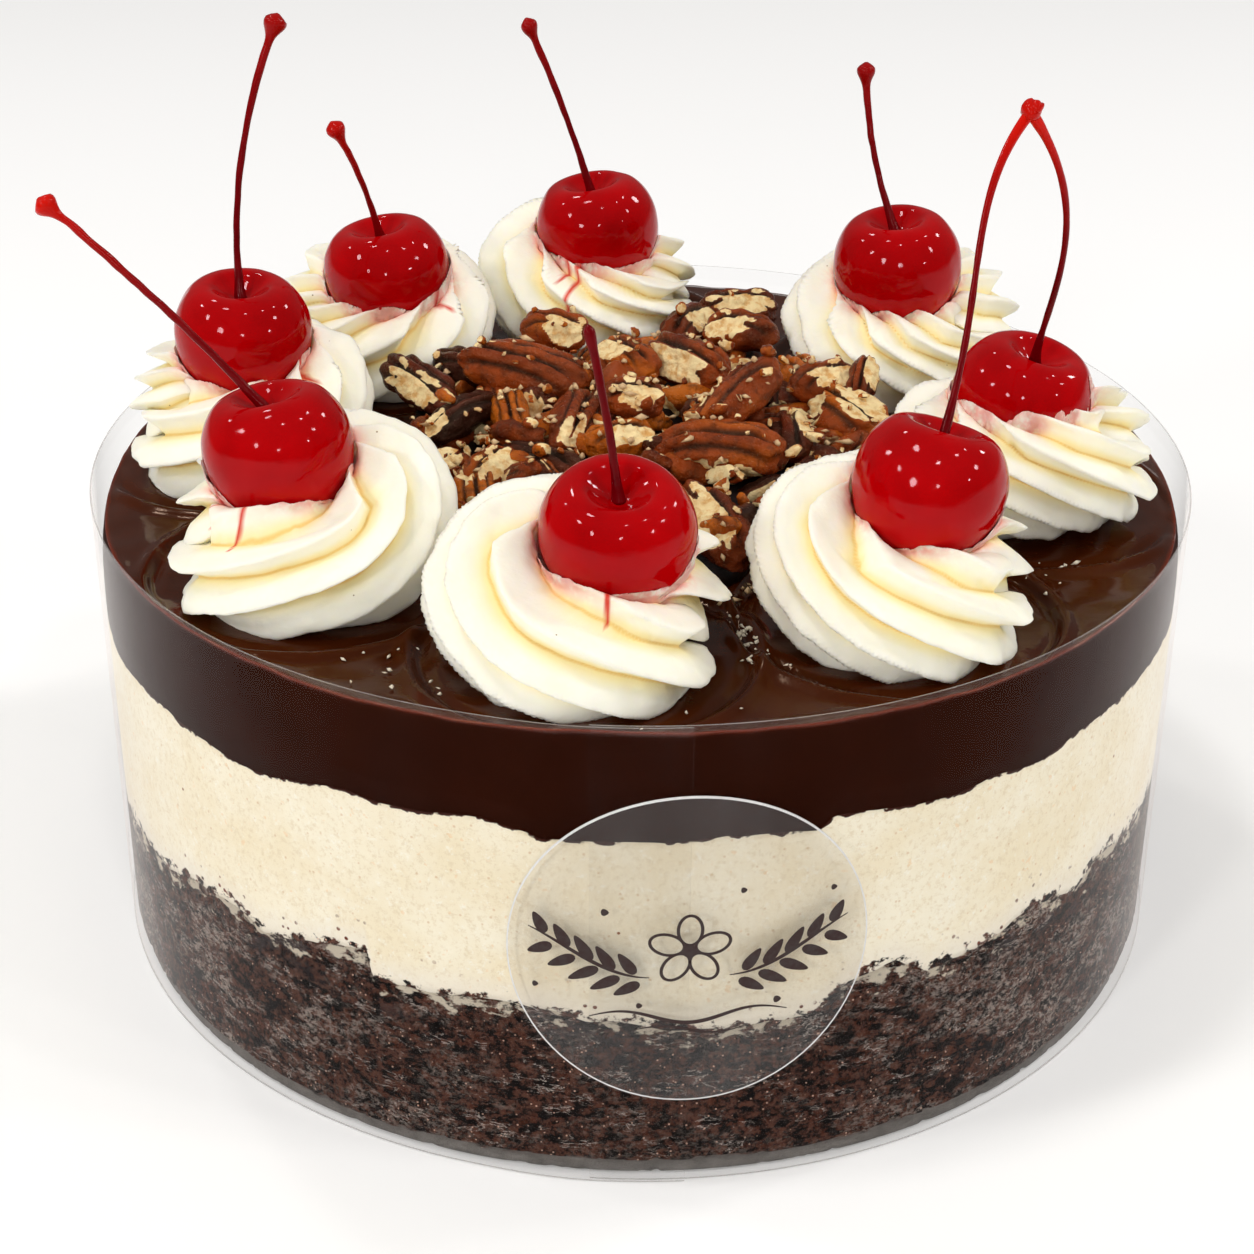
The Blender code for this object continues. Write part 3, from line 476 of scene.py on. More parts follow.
def nut_look():
    look = Look("pecan")
    flesh, tone, deep = look.values("flesh", "tone", "deep")
    grain = look.noise(0.0020, 4.0, 0.62)
    skin = look.mix(look.span(tone, 0.0, 0.45), rgb(196, 100, 18), rgb(146, 58, 14))
    skin = look.over(skin, look.span(tone, 0.40, 0.75), 92, 30, 10)
    skin = look.over(skin, look.span(tone, 0.70, 1.0), 38, 12, 8)
    skin = look.over(skin, look.part(grain, 0.45, 0.70, 0.6), 52, 18, 8)
    # Darker skin and painted shade in the grooves: near-black where they are deep.
    skin = look.over(skin, look.part(deep, 0.10, 0.75, 0.92), 20, 7, 4)
    pale = look.span(look.noise(0.0016, 3.0, 0.62), 0.30, 0.58)
    meat = look.mix(pale, rgb(226, 172, 102), rgb(255, 231, 176))
    meat = look.over(meat, look.part(look.noise(0.0045, 2.0, 0.5), 0.55, 0.75, 0.5), 216, 154, 84)
    torn = look.plus(flesh, look.times(look.less(grain, 0.5), 1.3))
    fine = look.noise(0.0007, 3.0, 0.65)
    rough = look.plus(look.times(flesh, 0.35), look.span(fine, 0.2, 0.8, 0.14, 0.30))
    wrinkles = look.bump(look.noise(0.0015, 5.0, 0.70), 0.0011, 0.85)
    return look.finish(look.mix(look.span(torn, 0.46, 0.56), skin, meat), rough,
                       look.span(torn, 0.40, 0.60, 0.40, 0.08), look.bump(fine, 0.00025, 0.6, wrinkles),
                       Specular_Tint=(1.0, 0.66, 0.40, 1.0))


def shadow_core_look():
    look = Look("nut_shadow_core")
    grain = look.noise(0.003, 4.0, 0.6)
    # Painted shadow: near-black brown for the dark gaps deep in the heap.
    colour = look.mix(look.span(grain, 0.4, 0.7), rgb(8, 3, 3), rgb(34, 15, 9))
    return look.finish(colour, look.span(grain, 0.3, 0.7, 0.6, 0.9), 0.15, look.bump(grain, 0.0012, 0.9))


def grain_look(name, light, dark):
    look = Look(name)
    grain = look.noise(0.0012, 3.0, 0.6)
    return look.finish(look.mix(grain, light, dark), look.span(grain, 0.3, 0.7, 0.5, 0.8), 0.5,
                       look.bump(grain, 0.0003, 0.7))


def film_look(name, tint, haze, shine_front, smudge):
    """Thin clear film: see-through, with a surface shine that grows towards its edges."""
    look = Look(name)
    streaks = look.noise(0.012, 3.0, 0.5, (1.0, 1.0, 0.3))
    loose, = look.values("loose")
    clear = look.put(look.add("ShaderNodeBsdfTransparent"), Color=tint)
    gloss = look.put(look.add("ShaderNodeBsdfGlossy"), Color=(1.0, 0.97, 0.96, 1.0),
                     Roughness=look.span(streaks, 0.3, 0.7, 0.06, 0.16),
                     Normal=look.bump(look.noise(0.03, 2.0, 0.4, (1.0, 1.0, 0.35)), 0.0010, 0.30))
    milky = look.put(look.add("ShaderNodeBsdfDiffuse"), Color=(0.86, 0.84, 0.83, 1.0))
    facing = look.put(look.add("ShaderNodeLayerWeight"), Blend=0.5)
    mirror = look.plus(look.times(look.math("POWER", facing.outputs["Facing"], 5.0), 0.78), shine_front)
    mirror = look.plus(mirror, look.times(loose, 0.012))
    share = look.plus(look.plus(look.part(streaks, 0.45, 0.75, smudge), haze), look.times(loose, 0.014))
    dull = look.put(look.add("ShaderNodeMixShader"), n0=share, n1=clear.outputs[0], n2=milky.outputs[0])
    shine = look.put(look.add("ShaderNodeMixShader"), n0=mirror, n1=dull.outputs[0], n2=gloss.outputs[0])
    look.tree.nodes.remove(look.shader)
    look.put(look.tree.nodes["Material Output"], Surface=shine.outputs[0])
    return look.material


# The layers


def line_at(table, degrees):
    """A line's height in metres at angles in degrees."""
    angles = np.array([row[0] for row in table] + [table[0][0] + 360.0])
    heights = np.array([row[1] for row in table] + [table[0][1]])
    return 0.001 * np.interp((np.asarray(degrees) + 180.0) % 360.0 - 180.0, angles, heights)


def waved(table, degrees, size, seed):
    """The line with small uneven waves on it."""
    ring = direction(np.radians(degrees)) * CAKE_R
    return line_at(table, degrees) + size * (noise(ring, 0.006, seed) + 0.6 * noise(ring, 0.0022, seed + 1))


def angles_round(columns):
    return np.linspace(-180.0, 180.0, columns, endpoint=False)


def wall(columns, rows, low, high, inset):
    """Points of the cake's side between two heights at each column."""
    ring = direction(np.radians(angles_round(columns)))
    share = np.linspace(0.0, 1.0, rows)[:, None]
    points = ring[None, :, :] * np.ones((rows, 1, 1)) * CAKE_R
    points[:, :, 2] = low[None, :] * (1 - share) + high[None, :] * share
    points = points.reshape(-1, 3)
    points[:, :2] = np.tile(ring[:, :2], (rows, 1)) * (CAKE_R - inset(points))[:, None]
    return points


def make_crumb():
    columns, rows = 1080, 44
    degrees = angles_round(columns)
    top = waved(CRUMB_LINE, degrees, *CRUMB_WAVES)
    foot_z, middle_z = 0.0004, 0.030

    # The bottom band: set in a little, and painted as shade in the crumb look.
    def foot_share(points):
        flat = points * [1, 1, 0]
        height = 0.0027 + 0.0005 * noise(flat, 0.007, 5) + 0.0003 * noise(flat, 0.0016, 4)
        return eased(0.00035, -0.00035, points[:, 2] - height)

    def inset(points):
        pits = 0.0006 * np.clip(noise(points, 0.0016, 6) + 0.5 * noise(points, 0.0008, 7) - 0.15, 0, 1)
        return 0.0002 + 0.0007 * foot_share(points) + pits

    points = wall(columns, rows, foot_z * np.ones(columns), top, inset)
    below = np.tile(top, rows) - points[:, 2]
    sides = np.tile(0.25 + 0.75 * eased(10, 46, np.abs(degrees)), rows)
    values = {"below": np.append(below, [0.03, 0.0]), "foot": np.append(foot_share(points), [1.0, 0.0]),
              "sides": np.append(sides, [0.0, 0.0])}
    points, faces = capped(points, columns, [0, 0, foot_z], [0, 0, middle_z])
    build("crumb_base_looks", points, faces, crumb_look(), "crumb_base", values)


def make_cheese():
    columns, rows = 1080, 26
    degrees = angles_round(columns)
    low = waved(CRUMB_LINE, degrees, *CRUMB_WAVES)
    high = waved(CHEESE_LINE, degrees, *CHEESE_WAVES)
    inset = lambda points: 0.0002 + 0.0001 * np.clip(noise(points, 0.004, 9), 0, 1)
    points = wall(columns, rows, low, high, inset)
    above = points[:, 2] - np.tile(low, rows)
    under = np.tile(high, rows) - points[:, 2]
    points, faces = capped(points, columns, [0, 0, 0.030], [0, 0, 0.060])
    build("cheesecake_looks", points, faces, cheese_look(), "cheesecake",
          {"above": np.append(above, [0.02, 0.02]), "under": np.append(under, [0.02, 0.02])})


def contact(degrees):
    """How far below the film's top edge the chocolate meets the film, in metres."""
    ring = direction(np.radians(degrees)) * CAKE_R
    back = eased(58, 92, np.abs(degrees))
    return 0.0017 + 0.0004 * noise(ring, 0.016, 21) + 0.0002 * noise(ring, 0.004, 22) + 0.0014 * back


def make_ganache():
    columns = 720
    degrees = angles_round(columns)
    around = direction(np.radians(degrees))
    level = CAKE_TOP - 0.0004
    # The chocolate draws back from the film behind, and stands a little against it at the edge.
    away = 0.0022 * eased(58, 92, np.abs(degrees))
    edge_z = FILM_H - contact(degrees)
    # line marks the chocolate's edge at the film, where its look paints a highlight.
    rings, side, line = [], [], []
    for share in np.concatenate([np.linspace(0.02, 0.93, 80), np.linspace(0.937, 1.0, 16)]):
        ring = around * ((CAKE_R - 0.0002 - away) * share)[:, None]
        rise = 0.00040 * noise(ring, 0.020, 11) + 0.00018 * noise(ring, 0.008, 12)
        for spec in SWIRLS:
            off = np.hypot(ring[:, 0] - spec["at"][0], ring[:, 1] - spec["at"][1]) - spec["radius"]
            rise += 0.0009 * np.exp(-((off - 0.0026) / 0.0012) ** 2)
            rise -= 0.0008 * np.exp(-((off - 0.0006) / 0.0010) ** 2)
        inside = (1.0 - share) * CAKE_R
        near = math.exp(-(inside / 0.0022) ** 2)
        ring[:, 2] = (level + rise) * (1 - near) + edge_z * near
        rings.append(ring)
        side.append(np.zeros(columns))
        line.append(np.full(columns, math.exp(-(inside / 0.00035) ** 2)))
    low = waved(CHEESE_LINE, degrees, *CHEESE_WAVES)
    top = rings[-1][:, 2]
    for share in (0.015, 0.035, 0.08, 0.16, 0.28, 0.5, 0.75, 1.0):
        ring = around * (CAKE_R - 0.0002 - away * (1 - share) ** 3)[:, None]
        ring[:, 2] = top + (low - top) * share
        rings.append(ring)
        side.append(np.ones(columns))
        line.append(np.full(columns, math.exp(-(share / 0.016) ** 2)))
    points, faces = capped(np.vstack(rings), columns, [0, 0, level], [0, 0, 0.060], True)
    values = {"side": np.append(side, [0, 1]), "line": np.append(line, [0, 0])}
    build("ganache_looks", points, faces, ganache_look(), "ganache", values)


def make_film():
    """A strip wound once round the cake, its outer end lapped over its inner one."""
    steps = 480
    whole = FULL_TURN + LAP
    turn = np.linspace(0.0, whole, steps)
    lift = (FILM_T + GAP) * eased(whole - LAP - RAMP, whole - LAP, turn)
    around = direction(SEAM - LAP + turn)
    degrees = (np.degrees(SEAM - LAP + turn) + 180.0) % 360.0 - 180.0
    touch = FILM_H - contact(degrees)
    points, loose = [], []
    heights = [np.linspace(0.0, 0.0052, 8), np.linspace(0.012, 0.0700, 8), np.linspace(0.0736, FILM_H, 14)]
    heights = np.concatenate(heights)
    rows = len(heights)
    for z in heights:
        waves = noise(np.stack([degrees / 30, degrees * 0, degrees * 0], 1), 1.0, 23)
        ring = around * (FILM_R + FILM_T + lift + 0.00010 * eased(0.070, FILM_H, z) * waves)[:, None]
        ring[:, 2] = z
        points.append(ring)
        # The film is free of the cake above the chocolate and at the foot.
        loose.append(np.maximum(eased(0.0, 0.0005, z - touch), eased(0.0036, 0.0028, z)))
    points = np.vstack(points)
    film = film_look("clear_film", (0.985, 0.985, 0.985, 1.0), 0.0, 0.0006, 0.003)
    build("collar_looks", points, grid_faces(rows, steps, False), film, "collar",
          {"loose": np.concatenate(loose)})
    # Its cut edges catch the light.
    rim, faces = np.zeros((0, 3)), []
    for line, out in ((points[(rows - 1) * steps:], around), (points[:steps], around),
                      (points[::steps], around[0]), (points[steps - 1::steps], around[-1])):
        faces += grid_faces(2, len(line), False, len(rim))
        rim = np.vstack([rim, line, line - out * FILM_T])
    edge = film_look("film_edge", (0.80, 0.79, 0.78, 1.0), 0.22, 0.05, 0.1)
    build("collar_edge", rim, faces, edge, "collar", smooth=False)


def on_label(x, y, out):
    """The point over the film at a place on the label, in metres from its middle."""
    point = direction(SEAM + x / LABEL_OUT) * (LABEL_OUT + out)
    point[2] = LABEL_Z + y
    return point


def make_label():
    columns, rings = 96, 26
    turns = [FULL_TURN * i / columns for i in range(columns)]
    points = [on_label(LABEL_R * share * math.cos(angle), LABEL_R * share * math.sin(angle), FILM_T)
              for share in np.linspace(0.04, 1.0, rings) for angle in turns]
    faces = grid_faces(rings, columns, True) + fan(range(columns), len(points), True)
    points.append(on_label(0, 0, FILM_T))
    film = film_look("label_film", (0.91, 0.905, 0.90, 1.0), 0.035, 0.012, 0.03)
    build("label_looks", points, faces, film, "label")
    lip = ((LABEL_R - 0.00022, 0.00028), (LABEL_R, 0.00032), (LABEL_R + 0.00004, 0.0))
    rim = [on_label(radius * math.cos(angle), radius * math.sin(angle), out)
           for angle in turns for radius, out in lip]
    faces = []
    for i in range(columns):
        for k in range(2):
            a, b = 3 * i + k, 3 * ((i + 1) % columns) + k
            faces.append([a, b, b + 1, a + 1])
    edge = grain_look("label_edge", (0.62, 0.61, 0.61, 1.0), (0.86, 0.85, 0.84, 1.0))
    build("label_edge", rim, faces, edge, "label")


def make_print():
    """A plain printed sprig: a flower between two leafy sprays, with dots and a thin wave."""
    points, faces = [], []

    def dot(x, y):
        points.append(on_label(1.14 * x, 1.14 * y, FILM_T + 0.00004))

    def stroke(xs, ys, widths):
        path = np.stack([xs, ys], 1)
        along = np.gradient(path, axis=0)
        side = np.stack([-along[:, 1], along[:, 0]], 1)
        side /= np.linalg.norm(side, axis=1, keepdims=True) + 1e-12
        start = len(points)
        for at, off, width in zip(path, side, widths):
            for sign in (-1, 1):
                dot(*(at + sign * 0.5 * width * off))
        for a in range(start, start + 2 * len(path) - 2, 2):
            faces.append([a, a + 1, a + 3, a + 2])

    def blob(x, y, long, wide, turn):
        start = len(points)
        c, s = math.cos(turn), math.sin(turn)
        dot(x, y)
        for i in range(18):
            angle = FULL_TURN * i / 18
            u = long * math.cos(angle)
            v = wide * math.sin(angle) * (1 - 0.35 * math.cos(angle))
            dot(x + c * u - s * v, y + s * u + c * v)
            faces.append([start, start + 1 + i, start + 1 + (i + 1) % 18])

    def taper(count, width):
        return width * (0.25 + 0.75 * np.sin(math.pi * np.linspace(0, 1, count)))

    def spray(side, share):
        return side * (0.0050 + 0.0150 * share), -0.0035 + 0.0070 * np.sin(1.6 * share) * share

    for side in (-1, 1):
        stroke(*spray(side, np.linspace(0, 1, 40)), taper(40, 0.00055))
        for place in (0.12, 0.30, 0.48, 0.66, 0.84):
            x, y = spray(side, place)
            size = 0.0022 - 0.0012 * abs(place - 0.4)
            for up in (-1, 1):
                turn = (0.95 if up > 0 else -0.55) + 0.2 * place
                turn = turn if side > 0 else math.pi - turn
                blob(x + side * 0.0010, y + up * 0.0019, size, 0.00075, turn)
    for petal in range(5):
        turn = math.radians(90 + 72 * petal)
        loop = np.linspace(-math.pi, math.pi, 30)
        u = 0.0030 + 0.0022 * np.cos(loop)
        v = 0.0015 * np.sin(loop)
        stroke(u * math.cos(turn) - v * math.sin(turn), 0.0005 + u * math.sin(turn) + v * math.cos(turn),
               np.full(30, 0.00042))
    blob(0, 0.0005, 0.00095, 0.00095, 0)
    for x, y, size in ((-0.0105, 0.0062, 0.0005), (0.0112, -0.0080, 0.0005), (0.0065, 0.0090, 0.0004),
                       (-0.0062, -0.0078, 0.0004), (0.0180, 0.0078, 0.0004), (-0.0192, -0.0052, 0.0004)):
        blob(x, y, size, size, 0)
    share = np.linspace(0, 1, 70)
    stroke(-0.0125 + 0.025 * share, -0.0096 + 0.0009 * np.sin(FULL_TURN * 1.5 * share), taper(70, 0.00060))
    stroke(-0.0070 + 0.014 * share, -0.0116 + 0.0006 * np.sin(FULL_TURN * share), taper(70, 0.0004))
    ink = grain_look("label_ink", rgb(30, 10, 9), rgb(52, 24, 20))
    build("label_print", points, faces, ink, "label")


# Swirls, cherries and stems


def cherry_middle(spec):
    return np.array([spec["cherry"][0], spec["cherry"][1], CAKE_TOP + spec["cherry"][2]])


def lean_matrix(spec):
    towards = math.radians(spec["towards"])
    axis = Vector((0, 0, 1)).cross(Vector((math.sin(towards), -math.cos(towards), 0.0)))
    return Matrix.Rotation(math.radians(spec["lean"]), 3, axis)


FULL_AT = math.radians(20.0)
TEETH = 9
TURNS = 0.90
SPAN = 358.0
ROPE_H = 0.0100
TIP_REACH = 0.0092


def rope_points(index, spec, round_):
    """A rope with a star-shaped section, wound once round; its ridges end in free tips."""
    hand, seed, full = spec["hand"], 40 + 7 * index, spec.get("full", 0.0)
    along, tail = (240, 26) if index in NEAR_SWIRLS else (170, 20)
    wide = 0.49 * spec["radius"]
    middle_r = spec["radius"] - wide
    psi = np.linspace(0, FULL_TURN, round_, endpoint=False)
    base = np.array([*spec["at"], CAKE_TOP])
    first, last = math.radians(spec["end"] - SPAN), math.radians(spec["end"])
    draw = random.Random(seed)
    lengths = np.array([draw.uniform(0.75, 1.15) for _ in range(TEETH)])

    def section(share, size):
        angle = first + (last - first) * share
        turn = FULL_TURN * (share * TURNS) + FULL_TURN * spec["phase"] / TEETH
        turn += 0.16 * math.sin(3.1 * share * FULL_TURN / 2 + seed)
        uneven = psi - turn + 0.16 * np.sin(psi - turn + seed) + 0.09 * np.sin(2 * (psi - turn) + 2.0 * seed)
        u = (uneven * TEETH / FULL_TURN) % 1.0
        u = np.where(u > 0.5, u - 1.0, u)
        tent = np.clip(1.0 - (np.sqrt((2 * u) ** 2 + 0.006) - 0.077) / 0.925, 0.0, 1.0)
        crest = tent ** 1.35
        shape = 0.64 + 0.36 * crest
        leaned = psi + 0.20 * crest
        hump = math.sin(math.pi * min(1.0, max(0.0, (share - 0.16) / 0.62)))
        rise = 0.0096 + 0.0042 * hump - 0.0042 * share
        out = wide * size * shape * np.sin(leaned)
        up = ROPE_H * size * shape * np.cos(leaned)
        tooth = np.round(uneven * TEETH / FULL_TURN).astype(int) % TEETH
        return angle, out, up, rise, tent, tooth

    def to_world(angle, out, up, rise, path_r, ahead):
        ray = direction(hand * angle)
        forward = direction(hand * angle + hand * math.pi / 2)
        ring = base + ray * (path_r + out)[:, None] + forward * ahead[:, None]
        ring[:, 2] = CAKE_TOP + rise + full * math.cos(angle - FULL_AT * hand) + up
        return ring

    rings, deeps = [], []
    for share in np.linspace(0, along - 1, along) / (along - 1):
        size = float(eased(-0.04, 0.10, share)) ** 0.5
        angle, out, up, rise, crest, _ = section(share, size)
        path_r = middle_r * (0.70 + 0.30 * float(eased(0.0, 0.35, share)))
        rings.append(to_world(angle, out, up, rise, path_r * np.ones(round_), np.zeros(round_)))
        deeps.append(1.0 - crest)
    angle, out, up, rise, crest, tooth = section(1.0, 1.0)
    reach = TIP_REACH * lengths[tooth] * crest ** 0.9
    path_r = middle_r * np.ones(round_)
    for j in range(1, tail + 1):
        share = j / tail
        shrink = 1.0 - 0.34 * share ** 1.8
        inward = -0.0032 * share ** 2
        rings.append(to_world(angle, out * shrink + inward, up * shrink, rise - 0.0010 * share, path_r,
                              reach * share + 0.0012 * share))
        deeps.append(1.0 - crest)
    for share in (0.6, 0.3):
        rings.append(to_world(angle, out * 0.66 * share - 0.0032, up * 0.66 * share, rise - 0.0010, path_r,
                              reach * share * 0.7 + 0.0012))
        deeps.append(np.ones(round_))
    return np.vstack(rings), np.concatenate(deeps)


def make_swirl(index, spec, material):
    hand, seed, full = spec["hand"], 40 + 7 * index, spec.get("full", 0.0)
    round_ = 192 if index in NEAR_SWIRLS else 144
    points, deep = rope_points(index, spec, round_)
    start = points[:round_].mean(0)
    # Uneven cream: broad lumps, then roughness that is strongest on the crests.
    away = points - (np.array([*spec["at"], CAKE_TOP]) + np.array([0, 0, 0.008]))
    away /= np.linalg.norm(away, axis=1, keepdims=True) + 1e-9
    lumps = 0.00065 * noise(points, 0.009, seed) + 0.00026 * noise(points, 0.0028, seed + 1)
    lumps += 0.00010 * noise(points, 0.0011, seed + 9)
    frayed = 0.00012 * noise(points, 0.0016, seed + 2)
    frayed += 0.00034 * np.minimum(0, noise(points, 0.0027, seed + 3))
    points += away * (lumps + (1.0 - deep) ** 3 * frayed)[:, None]
    # The cherry has pressed its bed into the cream, which stays below a lip.
    centre = cherry_middle(spec)
    off = points - centre
    dist = np.linalg.norm(off, axis=1)
    facing = -off[:, 1] / (np.hypot(off[:, 0], off[:, 1]) + 1e-9)
    lip = 0.0016 + 1.1 * full * np.clip(facing, 0.0, 1.0) + 0.0007 * noise(points, 0.0030, seed + 10)
    under = (dist < CHERRY_R * 1.01) & (off[:, 2] > lip)
    off[:, 2] = np.where(under, lip, off[:, 2])
    dist = np.linalg.norm(off, axis=1)
    # It fits the cherry closely, and lower down the cream has closed round it.
    bed = CHERRY_R * (1.0 - 0.06 * np.clip(-off[:, 2] / dist, 0, 1) ** 6) + 0.00005
    bed += 0.0003 * np.clip(noise(points, 0.0013, seed + 4), 0, 1)
    drawn = 0.0060 * np.clip(1.0 - (off[:, 2] - 0.0010) / 0.0035, 0.0, 1.0) + 1e-6
    clear = np.clip(dist - bed, 0.0, None)
    closed = np.where(clear < drawn, clear * (clear / drawn) ** 2, clear)
    points = centre + off / dist[:, None] * (bed + closed)[:, None]
    rim = np.clip(1.0 - closed / 0.0014, 0, 1) * (closed > 0)
    points += (off / dist[:, None]) * (0.00035 * rim * noise(points, 0.0011, seed + 5))[:, None]
    points[:, 2] = np.maximum(points[:, 2], CAKE_TOP - 0.0003)
    # Juice of the cherry: a pink stain round it, and streaks that ran off.
    gap = np.linalg.norm(points - centre, axis=1) - CHERRY_R
    stain = np.exp(-np.clip(gap - 0.0003, 0, None) / (0.0006 * (1.2 + noise(points, 0.003, seed + 8))))
    bearing = np.degrees(np.arctan2(points[:, 0] - centre[0], -(points[:, 1] - centre[1])))
    streak = np.zeros(len(points))
    for at, length in spec["streaks"]:
        drift = 3.0 * noise(points, 0.004, seed + 6)
        half = 2.2 * np.clip(1.0 - (gap - 0.0004) / length, 0, 1) ** 0.7 + 0.01
        streak = np.maximum(streak, np.clip(1.4 - np.abs(bearing - at - drift) / half, 0, 1) * (gap < length))
    count = len(points)
    rows = count // round_
    faces = grid_faces(rows, round_, True)
    faces = flipped(faces) if hand > 0 else faces
    faces += fan(range(round_), count, hand > 0) + fan(range(count - round_, count), count + 1, hand < 0)
    points = np.vstack([points, start, points[-round_:].mean(0)])
    # deep is 1 in the creases, where the cream look paints shade.
    values = {"deep": np.append(deep, [1, 1]), "stain": np.append(stain, [0, 0]),
              "streak": np.append(streak, [0, 0])}
    build(f"swirl_{index + 1}_looks", points, faces, material, f"swirl_{index + 1}", values)


# Half of the cherry's outline, from the pit of the stem to its foot, as shares of its radius.
CHERRY_LINE = np.array([(0.0, 0.56), (0.13, 0.575), (0.30, 0.68), (0.49, 0.795), (0.73, 0.71), (0.93, 0.42),
                        (1.0, 0.10), (0.96, -0.28), (0.75, -0.66), (0.38, -0.88), (0.0, -0.94)])


def smooth_line(line, steps):
    """A round curve through the points of a line that starts and ends at the middle."""
    mirror = np.array([-1.0, 1.0])
    line = np.vstack([line[1] * mirror, line, line[-2] * mirror])
    curve = []
    for k in range(1, len(line) - 2):
        before, here, there, after = line[k - 1:k + 3]
        for share in np.arange(steps) / steps:
            bend = 2 * before - 5 * here + 4 * there - after + share * (3 * (here - there) + after - before)
            curve.append(here + 0.5 * share * (there - before + share * bend))
    return np.vstack([curve, line[-2]])


def make_cherry(index, spec, material):
    columns, seed = 84, 90 + index
    line = smooth_line(CHERRY_LINE, 7)
    phi = np.linspace(0, FULL_TURN, columns, endpoint=False)
    suture = 1.0 - 0.012 * np.exp(-((phi - 1.2 * seed) % FULL_TURN - 1.0) ** 2 / 0.02)
    points = np.vstack([np.stack([flat * np.cos(phi) * suture, flat * np.sin(phi) * suture,
                                  np.full(columns, tall)], 1) for flat, tall in line])
    # low grows towards the foot, where the cherry look paints light shining through.
    low = np.concatenate([np.full(columns, max(0.0, -tall)) for _, tall in line])
    points *= (1.0 + 0.020 * noise(points, 0.9, seed) + 0.006 * noise(points, 0.3, seed + 50))[:, None]
    points *= CHERRY_R / np.abs(points[:, :2]).max()
    points = points @ np.array(lean_matrix(spec)).T + cherry_middle(spec)
    build(f"cherry_{index + 1}_looks", points, flipped(grid_faces(len(line), columns, True)), material,
          f"cherry_{index + 1}", {"low": low})


STEM_SIDES = 14
STEM_STEPS = 90


def tube(path, radii):
    """Points and faces of a closed tube along a path."""
    path = np.asarray(path, float)
    along = np.gradient(path, axis=0)
    along /= np.linalg.norm(along, axis=1, keepdims=True)
    side = np.cross(along, [0.0, 1.0, 0.001])
    side /= np.linalg.norm(side, axis=1, keepdims=True)
    other = np.cross(along, side)
    angle = np.linspace(0, FULL_TURN, STEM_SIDES, endpoint=False)
    ring = np.cos(angle)[None, :, None] * side[:, None, :] + np.sin(angle)[None, :, None] * other[:, None, :]
    points = (path[:, None, :] + ring * np.asarray(radii)[:, None, None]).reshape(-1, 3)
    return capped(points, STEM_SIDES, path[0], path[-1])


def stem_path(spec, end, bow, skew=1.0):
    """A line from the cherry's pit that bows out in its middle, or nearer to its end."""
    up = np.array(lean_matrix(spec) @ Vector((0, 0, 1)))
    foot = cherry_middle(spec) + up * (0.53 * CHERRY_R)
    share = np.linspace(0, 1, STEM_STEPS)[:, None]
    most = (skew / (1.0 + skew)) ** skew / (1.0 + skew)
    path = foot * (1 - share) + np.array(end) * share + np.array(bow) * (share ** skew * (1 - share) / most)
    share = share[:, 0]
    length = np.linalg.norm(path[-1] - path[0])
    thicker_foot = 0.00062 * np.exp(-share * length / 0.0030)
    return path, share, (1 - share) * length, thicker_foot


def make_stem(number, stem, material):
    path, share, from_tip, foot = stem_path(SWIRLS[stem["swirl"]], stem["tip"], stem["bow"])
    radii = 0.00052 + foot + 0.00016 * share ** 2
    knob = 0.00105 * stem["knob"] * np.exp(-((from_tip - 0.0015) / 0.0016) ** 2)
    radii = (radii + knob) * np.sqrt(np.clip(from_tip / 0.0009, 0.04, 1))
    radii *= 1.0 + 0.10 * noise(path, 0.0035, 170 + number)
    points, faces = tube(path, radii)
    tip = np.repeat(stem["red"] * np.exp(-(from_tip / 0.012) ** 1.0), STEM_SIDES)
    uneven = 0.00006 * noise(points, 0.0020, 130 + number)[:, None]
    points += uneven * (1 + 2 * np.append(tip, [0, 0]))[:, None]
    build(f"stem_{number + 1}_looks", points, faces, material, f"stem_{number + 1}",
          {"tip": np.append(tip, [0, stem["red"]])})


def make_twin(material):
    pile = Pile()
    for swirl, bow, skew in TWIN:
        path, _, from_tip, foot = stem_path(SWIRLS[swirl], TWIN_APEX, bow, skew)
        radii = 0.00050 + foot + 0.00040 * np.exp(-(from_tip / 0.0060))
        radii *= 1.0 + 0.12 * noise(path, 0.0030, 145 + swirl)
        tip = np.repeat(0.9 * np.exp(-(from_tip / 0.013) ** 1.4), STEM_SIDES)
        pile.add(*tube(path, radii), {"tip": np.append(tip, [0, 0.9])})
    for offset, size in (((0.0, 0.0, 0.0002), 0.0016), ((0.0007, -0.0004, 0.0009), 0.0010)):
        share = np.linspace(-1, 1, 12)
        path = np.array(TWIN_APEX) + np.array(offset)
        path = path + share[:, None] * np.array([size * 0.6, 0, size * 0.55])
        points, faces = tube(path, size * np.sqrt(np.clip(1 - share ** 2, 0.02, 1)))
        points += 0.00040 * noise(points, 0.0011, 140)[:, None]
        pile.add(points, faces, {"tip": np.full(len(points), 0.7)})
    pile.build("stem_twin_looks", material, "stem_twin", "stem", HIGHEST)


# The heap of nuts


def heap_edge(angle):
    """How far the heap reaches from the axis at an angle, clear of the swirls."""
    reach = HEAP_REACH
    for middle, far, half in HEAP_GAPS:
        off = abs(math.remainder(angle - math.radians(middle), FULL_TURN))
        reach += (far - HEAP_REACH) * (1.0 - float(eased(0.2, 1.0, off / math.radians(half))))
    ray = direction(angle)
    for spec in SWIRLS:
        to_swirl = np.array([*spec["at"], 0.0])
        along = to_swirl @ ray
        aside = np.linalg.norm(to_swirl - ray * along)
        kept = spec["radius"] + 0.0009
        if along > 0.0 and aside < kept:
            reach = min(reach, along - math.sqrt(kept * kept - aside * aside))
    return reach


